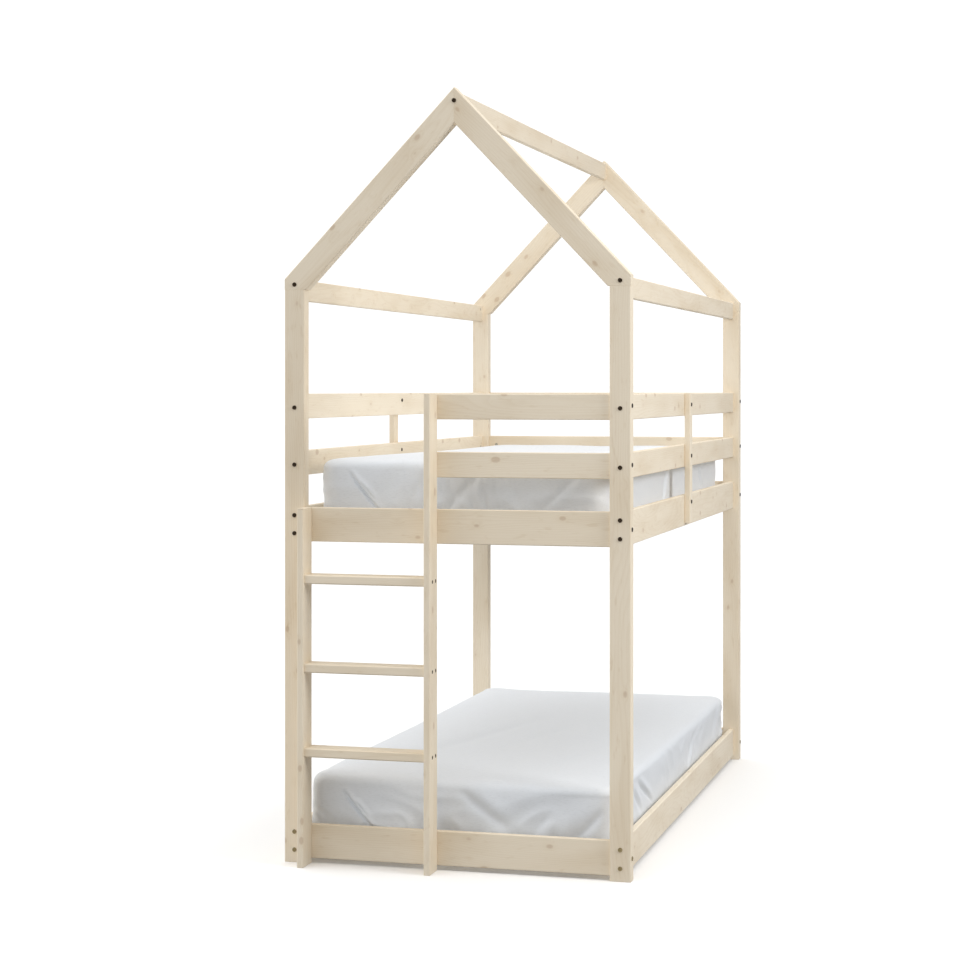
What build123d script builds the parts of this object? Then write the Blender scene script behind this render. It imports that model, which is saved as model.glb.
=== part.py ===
from build123d import *
import math
import os

# A house bunk bed: two beds, one above the other, in a pine frame whose ends carry on up into
# gables, with a ridge beam between them and a ladder in front of the near end.
# Sizes are in millimetres. X runs across the bed, Y along it from the ladder end to the far
# end, and Z up. The origin is on the floor, in the middle of the whole outline.

# The frame over its posts
bed_width = 980
bed_length = 1980

# Posts, with their wide side across the bed
post_width = 58
post_depth = 38
post_ease = 2

# Boards, and the gaps between them from the floor up
board_thickness = 18
board_ease = 2
bed_rail_height = 95
guard_rail_height = 70
roof_rail_height = 58
floor_gap = 12.5
bunk_gap = 783.5
lower_guard_gap = 86.5
upper_guard_gap = 88.5
window_gap = 259.5
end_rail_setback = 8

# The gables and the ridge
roof_pitch = 46.5
rafter_width = 67.5
rafter_heel = 31
rafter_ease = 2
ridge_drop = 12
ridge_bolt_drop = 37

# The ladder, whose uprights stand on the floor
ladder_reach = 64
ladder_post_gap = 1.5
ladder_width = 381
rung_thickness = 25
rung_depth = 62
rung_ease = 3
rung_height_shares = (0.3195, 0.5548, 0.8022)

# The upright brace on the outside of each long side
brace_width = 40
brace_foot_rise = 9
brace_place_share = 0.4846
left_brace_bolt_rise = 12
brace_foot_bolt_rise = 26.5

# Slats, the webbing tapes that join them from below, and the ledgers that carry them
slat_count = 14
slat_width = 70
slat_thickness = 18
slat_end_gap = 1
slat_tape_width = 20
slat_tape_thickness = 1.5
slat_tape_inset = 190
ledger_thickness = 28
ledger_height = 28
ledger_end_gap = 45
lower_slat_drop = 38
upper_slat_drop = 28

# Mattresses, drawn in at their edges and crowned on top, and their gaps to the rails
mattress_thickness = 165
lower_mattress_side_gap = 4.5
lower_mattress_end_gap = 16.5
lower_mattress_corner = 85
upper_mattress_side_gap = 22
upper_mattress_end_gap = 34
upper_mattress_corner = 135
mattress_level_shares = (0, 0.08, 0.78, 0.94, 1)
mattress_draw_shares = (0.12, 0, 0, 0.12, 0.9)

# How many flats stand for the round of a small fastener, of its hole and of a bolt's head
rod_sides = 6
head_sides = 8

# Bolts with a low head that draws in towards its face, and the barrel nuts that they draw on
bolt_radius = 3
bolt_head_radius = 6
bolt_face_radius = 5.2
bolt_head_rise = 2.5
bolt_tip = 2
barrel_radius = 5
barrel_length = 14
barrel_setback = 28
barrel_sink = 0.5
bed_bolt_spread = 25
crossing_shift = 3.5
roof_bolt_rise = 14.5

# Sleeve nuts behind the braces
sleeve_radius = 4
sleeve_length = 12
sleeve_flange_radius = 5.5
sleeve_flange = 1.5

# Dowels
dowel_radius = 4
dowel_reach = 22
bed_dowel_drop = 30
guard_dowel_drop = 24
foot_dowel_inset = 14
mitre_dowel_drop = 73

# Countersunk wood screws
screw_radius = 2.5
screw_head_radius = 4.5
screw_head_depth = 3
rung_screw_length = 60
rung_screw_spread = 15
ladder_screw_length = 60
ladder_screw_rise = 18
ledger_screw_length = 40
ledger_screw_count = 4
ledger_screw_margin = 60

# Clearances, and how far a cut runs past a face
bolt_clearance = 0.5
thread_clearance = 0.1
dowel_clearance = 0.1
end_clearance = 1
overrun = 5

# Heights, worked out from the gaps
lower_rail_bottom = floor_gap
lower_rail_top = lower_rail_bottom + bed_rail_height
upper_rail_bottom = lower_rail_top + bunk_gap
upper_rail_top = upper_rail_bottom + bed_rail_height
mid_guard_bottom = upper_rail_top + lower_guard_gap
mid_guard_top = mid_guard_bottom + guard_rail_height
top_guard_bottom = mid_guard_top + upper_guard_gap
top_guard_top = top_guard_bottom + guard_rail_height
eave_rail_bottom = top_guard_top + window_gap
post_height = eave_rail_bottom + roof_rail_height / 2
lower_rail_middle = (lower_rail_bottom + lower_rail_top) / 2
upper_rail_middle = (upper_rail_bottom + upper_rail_top) / 2
mid_guard_middle = (mid_guard_bottom + mid_guard_top) / 2
top_guard_middle = (top_guard_bottom + top_guard_top) / 2

# Places across the bed
half_width = bed_width / 2
post_middle_x = half_width - post_width / 2
post_inner_x = half_width - post_width
side_rail_outer_x = post_middle_x + board_thickness / 2
side_rail_inner_x = post_middle_x - board_thickness / 2

# Places along the bed: the ladder and the far bolt heads are its ends
front_y = ladder_reach - (ladder_reach + bed_length + bolt_head_rise) / 2
back_y = front_y + bed_length
middle_y = (front_y + back_y) / 2
front_post_y = front_y + post_depth
back_post_y = back_y - post_depth
front_rail_y = front_y + end_rail_setback + board_thickness / 2
back_rail_y = back_y - end_rail_setback - board_thickness / 2
brace_y = front_y + bed_length * brace_place_share

# The gable's lines
roof_slope = math.tan(math.radians(roof_pitch))
rafter_drop = rafter_width / math.cos(math.radians(roof_pitch))
apex_height = post_height + rafter_heel + half_width * roof_slope
rafter_toe = (rafter_drop - rafter_heel) / roof_slope
ridge_top = apex_height - ridge_drop
ridge_middle = ridge_top - roof_rail_height / 2
ridge_bolt_height = apex_height - ridge_bolt_drop
mitre_dowel_height = apex_height - mitre_dowel_drop
roof_bolt_height = post_height + roof_bolt_rise
eave_dowel_height = post_height - roof_bolt_rise

# The ladder's places
ladder_front_y = front_y - ladder_reach
ladder_back_y = front_y + end_rail_setback
left_upright_x = -post_inner_x + ladder_post_gap + board_thickness / 2
right_upright_x = left_upright_x + ladder_width - board_thickness
ladder_entry_x = right_upright_x - board_thickness / 2
rung_middle_y = ladder_back_y - rung_depth / 2
rung_heights = [upper_rail_top * share for share in rung_height_shares]

# Slat and mattress heights
lower_slat_top = lower_rail_top - lower_slat_drop
upper_slat_top = upper_rail_top - upper_slat_drop

# What every long side, short end, side and end needs at each rail height
sides = {"left": -1, "right": 1}
ends = {"front": 1, "back": -1}
end_face_y = {"front": front_y, "back": back_y}
post_inner_y = {"front": front_post_y, "back": back_post_y}
end_rail_y = {"front": front_rail_y, "back": back_rail_y}
rail_middles = {
    "lower_rail": lower_rail_middle,
    "upper_rail": upper_rail_middle,
    "guard_mid": mid_guard_middle,
    "guard_top": top_guard_middle,
}
rail_heights = {
    "lower_rail": bed_rail_height,
    "upper_rail": bed_rail_height,
    "guard_mid": guard_rail_height,
    "guard_top": guard_rail_height,
}
bed_rails = ("lower_rail", "upper_rail")
guard_rails = ("guard_mid", "guard_top")

os.makedirs("parts", exist_ok=True)


def save(part, name):
    """Label a finished piece and write it to its own file."""
    part.label = name
    export_step(part, f"parts/{name}.step")


def rod_section(radius):
    """The outline of a thin rod, whose corners lie on its radius."""
    RegularPolygon(radius, side_count=rod_sides)


def hole_section(radius):
    """The outline of a hole for a rod, whose flats lie on the radius, so that it clears all round."""
    RegularPolygon(radius, side_count=rod_sides, major_radius=False)


def drill_along_y(places, radius, y_start, y_end):
    """Holes at (x, z) places, from one y to another."""
    with BuildSketch(Plane.XZ.offset(-y_start)) as outlines:
        with Locations(*places):
            hole_section(radius)
    extrude(outlines.sketch, amount=y_start - y_end, mode=Mode.SUBTRACT)


def drill_along_x(places, radius, x_start, x_end):
    """Holes at (y, z) places, from one x to another."""
    with BuildSketch(Plane.YZ.offset(x_start)) as outlines:
        with Locations(*places):
            hole_section(radius)
    extrude(outlines.sketch, amount=x_end - x_start, mode=Mode.SUBTRACT)


def drill_along_z(places, radius, z_start, z_end):
    """Holes at (x, y) places, from one z to another."""
    with BuildSketch(Plane.XY.offset(z_start)) as outlines:
        with Locations(*places):
            hole_section(radius)
    extrude(outlines.sketch, amount=z_end - z_start, mode=Mode.SUBTRACT)


def eased_board(width, height, ease):
    """A board's section, with its four corners eased."""
    board = Rectangle(width, height)
    chamfer(board.vertices(), length=ease)


def board_along_y(x_middle, z_middle, height, y_start, y_end):
    """A board on edge, along the bed, with its four long edges eased."""
    with BuildSketch(Plane.XZ.offset(-y_start)) as outline:
        with Locations((x_middle, z_middle)):
            eased_board(board_thickness, height, board_ease)
    extrude(outline.sketch, amount=y_start - y_end)


def board_along_x(y_middle, z_middle, height, x_start, x_end):
    """A board on edge, across the bed, with its four long edges eased."""
    with BuildSketch(Plane.YZ.offset(x_start)) as outline:
        with Locations((y_middle, z_middle)):
            eased_board(board_thickness, height, board_ease)
    extrude(outline.sketch, amount=x_end - x_start)


def countersunk_shape(length, section, clearance):
    """A cone that narrows to a shank, with its wide end at the origin."""
    with BuildPart() as shape:
        with BuildSketch(Plane.XY):
            section(screw_head_radius + clearance)
        with BuildSketch(Plane.XY.offset(-screw_head_depth)):
            section(screw_radius + clearance)
        loft(ruled=True)
        with BuildSketch(Plane.XY.offset(-length - clearance)):
            section(screw_radius + clearance)
        extrude(amount=length + clearance - screw_head_depth)
    return shape.part


def screw_shape(length):
    """A countersunk screw with its head flush at the origin."""
    return countersunk_shape(length, rod_section, 0)


def screw_hole_shape(length):
    """The hole that a countersunk screw goes in."""
    return countersunk_shape(length, hole_section, thread_clearance)


def bolt_shape(length):
    """A bolt whose head stands on the origin's plane, with its shank below it."""
    with BuildPart() as bolt:
        with BuildSketch(Plane.XY):
            RegularPolygon(bolt_head_radius, side_count=head_sides)
        with BuildSketch(Plane.XY.offset(bolt_head_rise)):
            RegularPolygon(bolt_face_radius, side_count=head_sides)
        loft(ruled=True)
        with BuildSketch(Plane.XY):
            rod_section(bolt_radius)
        extrude(amount=-length)
    return bolt.part


def barrel_nut_shape():
    """A cross dowel below the origin's plane, bored along X where the bolt comes through."""
    bore_depth = board_thickness / 2
    with BuildPart() as nut:
        with BuildSketch(Plane.XY.offset(-barrel_sink)):
            rod_section(barrel_radius)
        extrude(amount=-barrel_length)
        with BuildSketch(Plane.YZ):
            with Locations((0, -bore_depth)):
                hole_section(bolt_radius + thread_clearance)
        extrude(amount=barrel_radius + overrun, both=True, mode=Mode.SUBTRACT)
    return nut.part


def sleeve_nut_shape():
    """A flanged sleeve nut: the flange stands on the origin's plane, the sleeve goes below it."""
    with BuildPart() as nut:
        with BuildSketch(Plane.XY):
            RegularPolygon(sleeve_flange_radius, side_count=head_sides)
        extrude(amount=sleeve_flange)
        with BuildSketch(Plane.XY):
            rod_section(sleeve_radius)
        extrude(amount=-sleeve_length)
        with BuildSketch(Plane.XY.offset(-sleeve_length)):
            hole_section(bolt_radius + thread_clearance)
        extrude(amount=sleeve_length, mode=Mode.SUBTRACT)
    return nut.part


def group(shape, planes):
    """Identical pieces, one on each plane, kept as separate solids."""
    with BuildPart() as pieces:
        with Locations(*planes):
            add(shape)
    return pieces.part


def side_bolt_heights(rail):
    """Where the bolts along the bed sit: a pair in a bed rail, one low in a guard rail."""
    middle = rail_middles[rail]
    if rail in bed_rails:
        return [middle - bed_bolt_spread, middle + bed_bolt_spread]
    return [middle - crossing_shift]


def end_bolt_height(rail):
    """Where the bolt across the bed sits: a guard rail's clears the one along the bed."""
    middle = rail_middles[rail]
    if rail in bed_rails:
        return middle
    return middle + crossing_shift


def dowel_height(rail):
    """The dowel below a rail's single bolt, which keeps the rail from turning on it."""
    drop = bed_dowel_drop if rail in bed_rails else guard_dowel_drop
    return rail_middles[rail] - drop


def brace_bolt_height(rail, side):
    """Where a brace's bolt goes through a rail: the left brace's guard bolts sit higher."""
    if rail == "upper_rail":
        return rail_middles[rail] + brace_foot_bolt_rise
    return rail_middles[rail] + (left_brace_bolt_rise if side == "left" else 0)


def end_rail_sides(rail, end):
    """The posts that an end rail is bolted to: the front guards leave the entry open."""
    if end == "front" and rail in guard_rails:
        return ["right"]
    return ["left", "right"]


def ledger_middle_height(bed):
    """The middle of a bed's ledgers, which hold its slats up from below."""
    return slat_tops[bed] - slat_thickness - ledger_height / 2


def ledger_screw_planes(bed, sign):
    """Screws from a ledger's inner face into the side rail behind it."""
    inner_face_x = side_rail_inner_x - ledger_thickness
    return [
        Plane(origin=(sign * inner_face_x, y, ledger_middle_height(bed)), z_dir=(-sign, 0, 0))
        for y in ledger_screw_places
    ]


def ladder_screw_planes(rail):
    """Screws from the inner face of a front rail into the ladder's uprights behind it."""
    uprights = [left_upright_x, right_upright_x] if rail in bed_rails else [right_upright_x]
    inner_face_y = front_rail_y + board_thickness / 2
    height = rail_middles[rail] + ladder_screw_rise
    return [Plane(origin=(x, inner_face_y, height), z_dir=(0, 1, 0)) for x in uprights]


# Where the ledgers, their screws and the slats lie
slat_tops = {"lower": lower_slat_top, "upper": upper_slat_top}
ledger_front_y = front_post_y + ledger_end_gap
ledger_back_y = back_post_y - ledger_end_gap
ledger_length = ledger_back_y - ledger_front_y
ledger_middle_x = side_rail_inner_x - ledger_thickness / 2
slat_tape_x = side_rail_inner_x - slat_tape_inset
slat_pitch = (ledger_length - slat_width) / (slat_count - 1)
ledger_screw_pitch = (ledger_length - 2 * ledger_screw_margin) / (ledger_screw_count - 1)
slat_places = [ledger_front_y + slat_width / 2 + slat_pitch * number for number in range(slat_count)]
ledger_screw_places = [
    ledger_front_y + ledger_screw_margin + ledger_screw_pitch * number
    for number in range(ledger_screw_count)
]

# Shared lists of joint places, as (x, z) along the bed and (y, z) across it
along_bolt_heights = [height for rail in rail_middles for height in side_bolt_heights(rail)]
along_dowel_heights = [dowel_height(rail) for rail in guard_rails]
along_dowel_heights.append(eave_dowel_height)
bolt_hole_radius = bolt_radius + bolt_clearance
foot_dowel_x = half_width - foot_dowel_inset
dowel_hole_radius = dowel_radius + dowel_clearance
dowel_hole_reach = dowel_reach + end_clearance
barrel_hole_radius = barrel_radius + thread_clearance
barrel_hole_depth = barrel_sink + barrel_length + thread_clearance
bolt_reach = barrel_setback + barrel_radius + bolt_tip
bolt_hole_reach = bolt_reach + end_clearance
ladder_screw_hole = screw_hole_shape(ladder_screw_length)
rung_screw_hole = screw_hole_shape(rung_screw_length)
ledger_screw_hole = screw_hole_shape(ledger_screw_length)

# Posts: bolt holes right through both ways, and blind dowel holes from the inner faces
for end, inward in ends.items():
    for side, sign in sides.items():
        x_middle = sign * post_middle_x
        y_middle = end_face_y[end] + inward * post_depth / 2
        joined_rails = [rail for rail in rail_middles if side in end_rail_sides(rail, end)]
        with BuildPart() as post:
            with BuildSketch(Plane.XY):
                with Locations((x_middle, y_middle)):
                    eased_board(post_width, post_depth, post_ease)
            extrude(amount=post_height)
            drill_along_y(
                [(x_middle, height) for height in along_bolt_heights],
                bolt_hole_radius,
                end_face_y[end] - inward * overrun,
                post_inner_y[end] + inward * overrun,
            )
            drill_along_x(
                [(end_rail_y[end], end_bolt_height(rail)) for rail in joined_rails],
                bolt_hole_radius,
                sign * (half_width + overrun),
                sign * (post_inner_x - overrun),
            )
            drill_along_y(
                [(x_middle, height) for height in along_dowel_heights],
                dowel_hole_radius,
                post_inner_y[end] + inward * overrun,
                post_inner_y[end] - inward * dowel_hole_reach,
            )
            drill_along_x(
                [(end_rail_y[end], dowel_height(rail)) for rail in joined_rails],
                dowel_hole_radius,
                sign * (post_inner_x - overrun),
                sign * (post_inner_x + dowel_hole_reach),
            )
            drill_along_z(
                [(sign * foot_dowel_x, y_middle)],
                dowel_hole_radius,
                post_height + overrun,
                post_height - dowel_hole_reach,
            )
        save(post.part, f"post_{end}_{side}")

# Side rails: each lies along the bed between two posts, with barrel nuts in its inner face
for rail, middle in rail_middles.items():
    for side, sign in sides.items():
        x_middle = sign * post_middle_x
        x_inner = sign * side_rail_inner_x
        with BuildPart() as side_rail:
            board_along_y(x_middle, middle, rail_heights[rail], front_post_y, back_post_y)
            for end, inward in ends.items():
                butt_y = post_inner_y[end]
                nut_y = butt_y + inward * barrel_setback
                drill_along_y(
                    [(x_middle, height) for height in side_bolt_heights(rail)],
                    bolt_hole_radius,
                    butt_y - inward * overrun,
                    butt_y + inward * bolt_hole_reach,
                )
                drill_along_x(
                    [(nut_y, height) for height in side_bolt_heights(rail)],
                    barrel_hole_radius,
                    x_inner - sign * overrun,
                    x_inner + sign * barrel_hole_depth,
                )
                if rail in guard_rails:
                    drill_along_y(
                        [(x_middle, dowel_height(rail))],
                        dowel_hole_radius,
                        butt_y - inward * overrun,
                        butt_y + inward * dowel_hole_reach,
                    )
            if rail != "lower_rail":
                drill_along_x(
                    [(brace_y, brace_bolt_height(rail, side))],
                    bolt_hole_radius,
                    x_inner - sign * overrun,
                    sign * (side_rail_outer_x + overrun),
                )
                drill_along_x(
                    [(brace_y, brace_bolt_height(rail, side))],
                    sleeve_radius + thread_clearance,
                    x_inner - sign * overrun,
                    x_inner + sign * (sleeve_length + end_clearance),
                )
            if rail in bed_rails:
                bed = "lower" if rail == "lower_rail" else "upper"
                with Locations(*ledger_screw_planes(bed, sign)):
                    add(ledger_screw_hole, mode=Mode.SUBTRACT)
        save(side_rail.part, f"{rail}_{side}")

# End rails: each lies across the bed, set back from the posts' faces
for rail, middle in rail_middles.items():
    for end, inward in ends.items():
        joined_sides = end_rail_sides(rail, end)
        y_middle = end_rail_y[end]
        y_inner = y_middle + inward * board_thickness / 2
        left_end_x = -post_inner_x if "left" in joined_sides else ladder_entry_x
        with BuildPart() as end_rail:
            board_along_x(y_middle, middle, rail_heights[rail], left_end_x, post_inner_x)
            for side in joined_sides:
                sign = sides[side]
                butt_x = sign * post_inner_x
                nut_x = butt_x - sign * barrel_setback
                drill_along_x(
                    [(y_middle, end_bolt_height(rail))],
                    bolt_hole_radius,
                    butt_x + sign * overrun,
                    butt_x - sign * bolt_hole_reach,
                )
                drill_along_y(
                    [(nut_x, end_bolt_height(rail))],
                    barrel_hole_radius,
                    y_inner + inward * overrun,
                    y_inner - inward * barrel_hole_depth,
                )
                drill_along_x(
                    [(y_middle, dowel_height(rail))],
                    dowel_hole_radius,
                    butt_x + sign * overrun,
                    butt_x - sign * dowel_hole_reach,
                )
            if end == "front":
                with Locations(*ladder_screw_planes(rail)):
                    add(ladder_screw_hole, mode=Mode.SUBTRACT)
        save(end_rail.part, f"{rail}_{end}")

# Braces: one upright on the outer face of each long side, bolted through three rails
braced_rails = ("upper_rail", "guard_mid", "guard_top")
brace_bottom = upper_rail_bottom + brace_foot_rise
brace_middle_x = side_rail_outer_x + board_thickness / 2
brace_bolt_places = {
    side: [(brace_y, brace_bolt_height(rail, side)) for rail in braced_rails] for side in sides
}
for side, sign in sides.items():
    with BuildPart() as brace:
        with BuildSketch(Plane.XY.offset(brace_bottom)):
            with Locations((sign * brace_middle_x, brace_y)):
                eased_board(board_thickness, brace_width, board_ease)
        extrude(amount=top_guard_top - brace_bottom)
        drill_along_x(
            brace_bolt_places[side],
            bolt_hole_radius,
            sign * (side_rail_outer_x - overrun),
            sign * (side_rail_outer_x + board_thickness + overrun),
        )
    save(brace.part, f"guard_brace_{side}")

# Rafters: a flat foot on the post, an upright heel flush with it and a mitre at the ridge
for end, inward in ends.items():
    for side, sign in sides.items():
        y_middle = end_face_y[end] + inward * post_depth / 2
        with BuildPart() as rafter:
            with BuildSketch(Plane.XZ.offset(-y_middle)):
                with BuildLine():
                    Polyline(
                        (sign * half_width, post_height),
                        (sign * half_width, post_height + rafter_heel),
                        (0, apex_height),
                        (0, apex_height - rafter_drop),
                        (sign * (half_width - rafter_toe), post_height),
                        close=True,
                    )
                make_face()
            extrude(amount=post_depth / 2, both=True)
            slopes = rafter.edges().filter_by(GeomType.LINE).sort_by(SortBy.LENGTH)[-4:]
            chamfer(slopes, length=rafter_ease)
            drill_along_y(
                [(sign * post_middle_x, roof_bolt_height), (0, ridge_bolt_height)],
                bolt_hole_radius,
                end_face_y[end] - inward * overrun,
                post_inner_y[end] + inward * overrun,
            )
            drill_along_z(
                [(sign * foot_dowel_x, y_middle)],
                dowel_hole_radius,
                post_height - overrun,
                post_height + dowel_hole_reach,
            )
            drill_along_x(
                [(y_middle, mitre_dowel_height)],
                dowel_hole_radius,
                -sign * overrun,
                sign * dowel_hole_reach,
            )
        save(rafter.part, f"rafter_{end}_{side}")

# Roof rails: an eave rail over each long side and the ridge beam, bolted through the gables
roof_rail_x = {"eave_rail_left": -post_middle_x, "eave_rail_right": post_middle_x, "ridge_beam": 0}
roof_rail_middles = {
    "eave_rail_left": post_height,
    "eave_rail_right": post_height,
    "ridge_beam": ridge_middle,
}
roof_rail_bolts = {
    "eave_rail_left": roof_bolt_height,
    "eave_rail_right": roof_bolt_height,
    "ridge_beam": ridge_bolt_height,
}
roof_nut_sides = {"eave_rail_left": -1, "eave_rail_right": 1, "ridge_beam": 1}
for name, x_middle in roof_rail_x.items():
    nut_side = roof_nut_sides[name]
    x_inner = x_middle - nut_side * board_thickness / 2
    with BuildPart() as roof_rail:
        board_along_y(x_middle, roof_rail_middles[name], roof_rail_height, front_post_y, back_post_y)
        for end, inward in ends.items():
            butt_y = post_inner_y[end]
            drill_along_y(
                [(x_middle, roof_rail_bolts[name])],
                bolt_hole_radius,
                butt_y - inward * overrun,
                butt_y + inward * bolt_hole_reach,
            )
            drill_along_x(
                [(butt_y + inward * barrel_setback, roof_rail_bolts[name])],
                barrel_hole_radius,
                x_inner - nut_side * overrun,
                x_inner + nut_side * barrel_hole_depth,
            )
            if name != "ridge_beam":
                drill_along_y(
                    [(x_middle, eave_dowel_height)],
                    dowel_hole_radius,
                    butt_y - inward * overrun,
                    butt_y + inward * dowel_hole_reach,
                )
    save(roof_rail.part, name)

# Ladder uprights: the left one stops at the bed rail, the right one at the top guard rail
upright_x = {"left": left_upright_x, "right": right_upright_x}
upright_top = {"left": upper_rail_top, "right": top_guard_top}
upright_rails = {"left": bed_rails, "right": tuple(rail_middles)}
rung_screw_places = [
    (rung_middle_y + rise, height)
    for height in rung_heights
    for rise in (-rung_screw_spread, rung_screw_spread)
]
rung_screw_planes = {
    side: [
        Plane(origin=(upright_x[side] + sign * board_thickness / 2, y, z), z_dir=(sign, 0, 0))
        for y, z in rung_screw_places
    ]
    for side, sign in sides.items()
}
for side in sides:
    with BuildPart() as upright:
        with BuildSketch(Plane.XY):
            with Locations((upright_x[side], (ladder_front_y + ladder_back_y) / 2)):
                eased_board(board_thickness, ladder_back_y - ladder_front_y, board_ease)
        extrude(amount=upright_top[side])
        with Locations(*rung_screw_planes[side]):
            add(rung_screw_hole, mode=Mode.SUBTRACT)
        with Locations(*[plane for rail in upright_rails[side] for plane in ladder_screw_planes(rail)]):
            add(ladder_screw_hole, mode=Mode.SUBTRACT)
    save(upright.part, f"ladder_upright_{side}")

# Rungs: flat treads between the uprights
for number, height in enumerate(rung_heights, start=1):
    with BuildPart() as rung:
        with BuildSketch(Plane.YZ.offset(left_upright_x + board_thickness / 2)):
            with Locations((rung_middle_y, height)):
                eased_board(rung_depth, rung_thickness, rung_ease)
        extrude(amount=ladder_width - 2 * board_thickness)
        for side in sides:
            with Locations(*rung_screw_planes[side]):
                add(rung_screw_hole, mode=Mode.SUBTRACT)
    save(rung.part, f"ladder_rung_{number}")

# Ledgers: a strip inside each long side, with loose slats laid across and taped to each other
for bed, slat_top in slat_tops.items():
    for side, sign in sides.items():
        with BuildPart() as ledger:
            with BuildSketch(Plane.XZ.offset(-ledger_front_y)):
                with Locations((sign * ledger_middle_x, ledger_middle_height(bed))):
                    Rectangle(ledger_thickness, ledger_height)
            extrude(amount=-ledger_length)
            with Locations(*ledger_screw_planes(bed, sign)):
                add(ledger_screw_hole, mode=Mode.SUBTRACT)
        save(ledger.part, f"{bed}_ledger_{side}")
    with BuildPart() as slats:
        with BuildSketch(Plane.XY.offset(slat_top)):
            with Locations(*[(0, y) for y in slat_places]):
                Rectangle(2 * (side_rail_inner_x - slat_end_gap), slat_width)
        extrude(amount=-slat_thickness)
    save(slats.part, f"{bed}_slats")
    with BuildPart() as slat_tapes:
        with BuildSketch(Plane.XY.offset(slat_top - slat_thickness)):
            with Locations((-slat_tape_x, middle_y), (slat_tape_x, middle_y)):
                Rectangle(slat_tape_width, ledger_length)
        extrude(amount=-slat_tape_thickness)
    save(slat_tapes.part, f"{bed}_slat_tapes")

# Mattresses: lofted through rounded outlines that draw in at the edges and crown the top
bed_room_width = 2 * side_rail_inner_x
bed_room_length = back_rail_y - front_rail_y - board_thickness
mattress_fits = {
    "lower": (lower_mattress_side_gap, lower_mattress_end_gap, lower_mattress_corner),
    "upper": (upper_mattress_side_gap, upper_mattress_end_gap, upper_mattress_corner),
}
for bed, (side_gap, end_gap, corner) in mattress_fits.items():
    width = bed_room_width - 2 * side_gap
    length = bed_room_length - 2 * end_gap
    with BuildPart() as mattress:
        for level_share, draw_share in zip(mattress_level_shares, mattress_draw_shares):
            draw_in = mattress_thickness * draw_share
            level = slat_tops[bed] + mattress_thickness * level_share
            with BuildSketch(Plane.XY.offset(level)):
                with Locations((0, middle_y)):
                    RectangleRounded(width - 2 * draw_in, length - 2 * draw_in, corner)
        loft(ruled=True)
    save(mattress.part, f"{bed}_mattress")

# Bolts: the short ones run along the bed into the side and roof rails, the long ones across it
short_bolt_planes = [
    Plane(origin=(x, end_face_y[end], z), z_dir=(0, -inward, 0))
    for end, inward in ends.items()
    for x, z in [
        *[(sign * post_middle_x, height) for sign in sides.values() for height in along_bolt_heights],
        *[(roof_rail_x[name], roof_rail_bolts[name]) for name in roof_rail_x],
    ]
]
long_bolt_planes = [
    Plane(
        origin=(sides[side] * half_width, end_rail_y[end], end_bolt_height(rail)),
        z_dir=(sides[side], 0, 0),
    )
    for end in ends
    for rail in rail_middles
    for side in end_rail_sides(rail, end)
]
save(group(bolt_shape(post_depth + bolt_reach), short_bolt_planes), "short_bolts")
save(group(bolt_shape(post_width + bolt_reach), long_bolt_planes), "long_bolts")

# Barrel nuts: sunk in the inner face of every rail, one on each bolt
side_nut_planes = [
    Plane(
        origin=(sign * side_rail_inner_x, post_inner_y[end] + inward * barrel_setback, height),
        x_dir=(0, 1, 0),
        z_dir=(-sign, 0, 0),
    )
    for sign in sides.values()
    for end, inward in ends.items()
    for rail in rail_middles
    for height in side_bolt_heights(rail)
]
end_nut_planes = [
    Plane(
        origin=(
            sides[side] * (post_inner_x - barrel_setback),
            end_rail_y[end] + inward * board_thickness / 2,
            end_bolt_height(rail),
        ),
        x_dir=(1, 0, 0),
        z_dir=(0, inward, 0),
    )
    for end, inward in ends.items()
    for rail in rail_middles
    for side in end_rail_sides(rail, end)
]
roof_nut_planes = [
    Plane(
        origin=(
            roof_rail_x[name] - roof_nut_sides[name] * board_thickness / 2,
            post_inner_y[end] + inward * barrel_setback,
            roof_rail_bolts[name],
        ),
        x_dir=(0, 1, 0),
        z_dir=(-roof_nut_sides[name], 0, 0),
    )
    for name in roof_rail_x
    for end, inward in ends.items()
]
save(group(barrel_nut_shape(), side_nut_planes + end_nut_planes + roof_nut_planes), "barrel_nuts")

# Brace bolts and the sleeve nuts that take them on the inside
brace_bolt_planes = [
    Plane(origin=(sign * (side_rail_outer_x + board_thickness), y, z), z_dir=(sign, 0, 0))
    for side, sign in sides.items()
    for y, z in brace_bolt_places[side]
]
brace_nut_planes = [
    Plane(origin=(sign * side_rail_inner_x, y, z), z_dir=(-sign, 0, 0))
    for side, sign in sides.items()
    for y, z in brace_bolt_places[side]
]
brace_bolt_length = 2 * board_thickness - end_clearance
save(group(bolt_shape(brace_bolt_length), brace_bolt_planes), "brace_bolts")
save(group(sleeve_nut_shape(), brace_nut_planes), "brace_nuts")

# Dowels: half of each in either piece
dowel_planes = [
    *[
        Plane(origin=(sign * post_middle_x, post_inner_y[end], height), z_dir=(0, 1, 0))
        for sign in sides.values()
        for end in ends
        for height in along_dowel_heights
    ],
    *[
        Plane(origin=(sides[side] * post_inner_x, end_rail_y[end], dowel_height(rail)), z_dir=(1, 0, 0))
        for end in ends
        for rail in rail_middles
        for side in end_rail_sides(rail, end)
    ],
    *[
        Plane(origin=(sign * foot_dowel_x, end_face_y[end] + inward * post_depth / 2, post_height))
        for sign in sides.values()
        for end, inward in ends.items()
    ],
    *[
        Plane(origin=(0, end_face_y[end] + inward * post_depth / 2, mitre_dowel_height), z_dir=(1, 0, 0))
        for end, inward in ends.items()
    ],
]
with BuildPart() as dowel:
    with BuildSketch(Plane.XY):
        rod_section(dowel_radius)
    extrude(amount=dowel_reach, both=True)
save(group(dowel.part, dowel_planes), "dowels")

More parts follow.
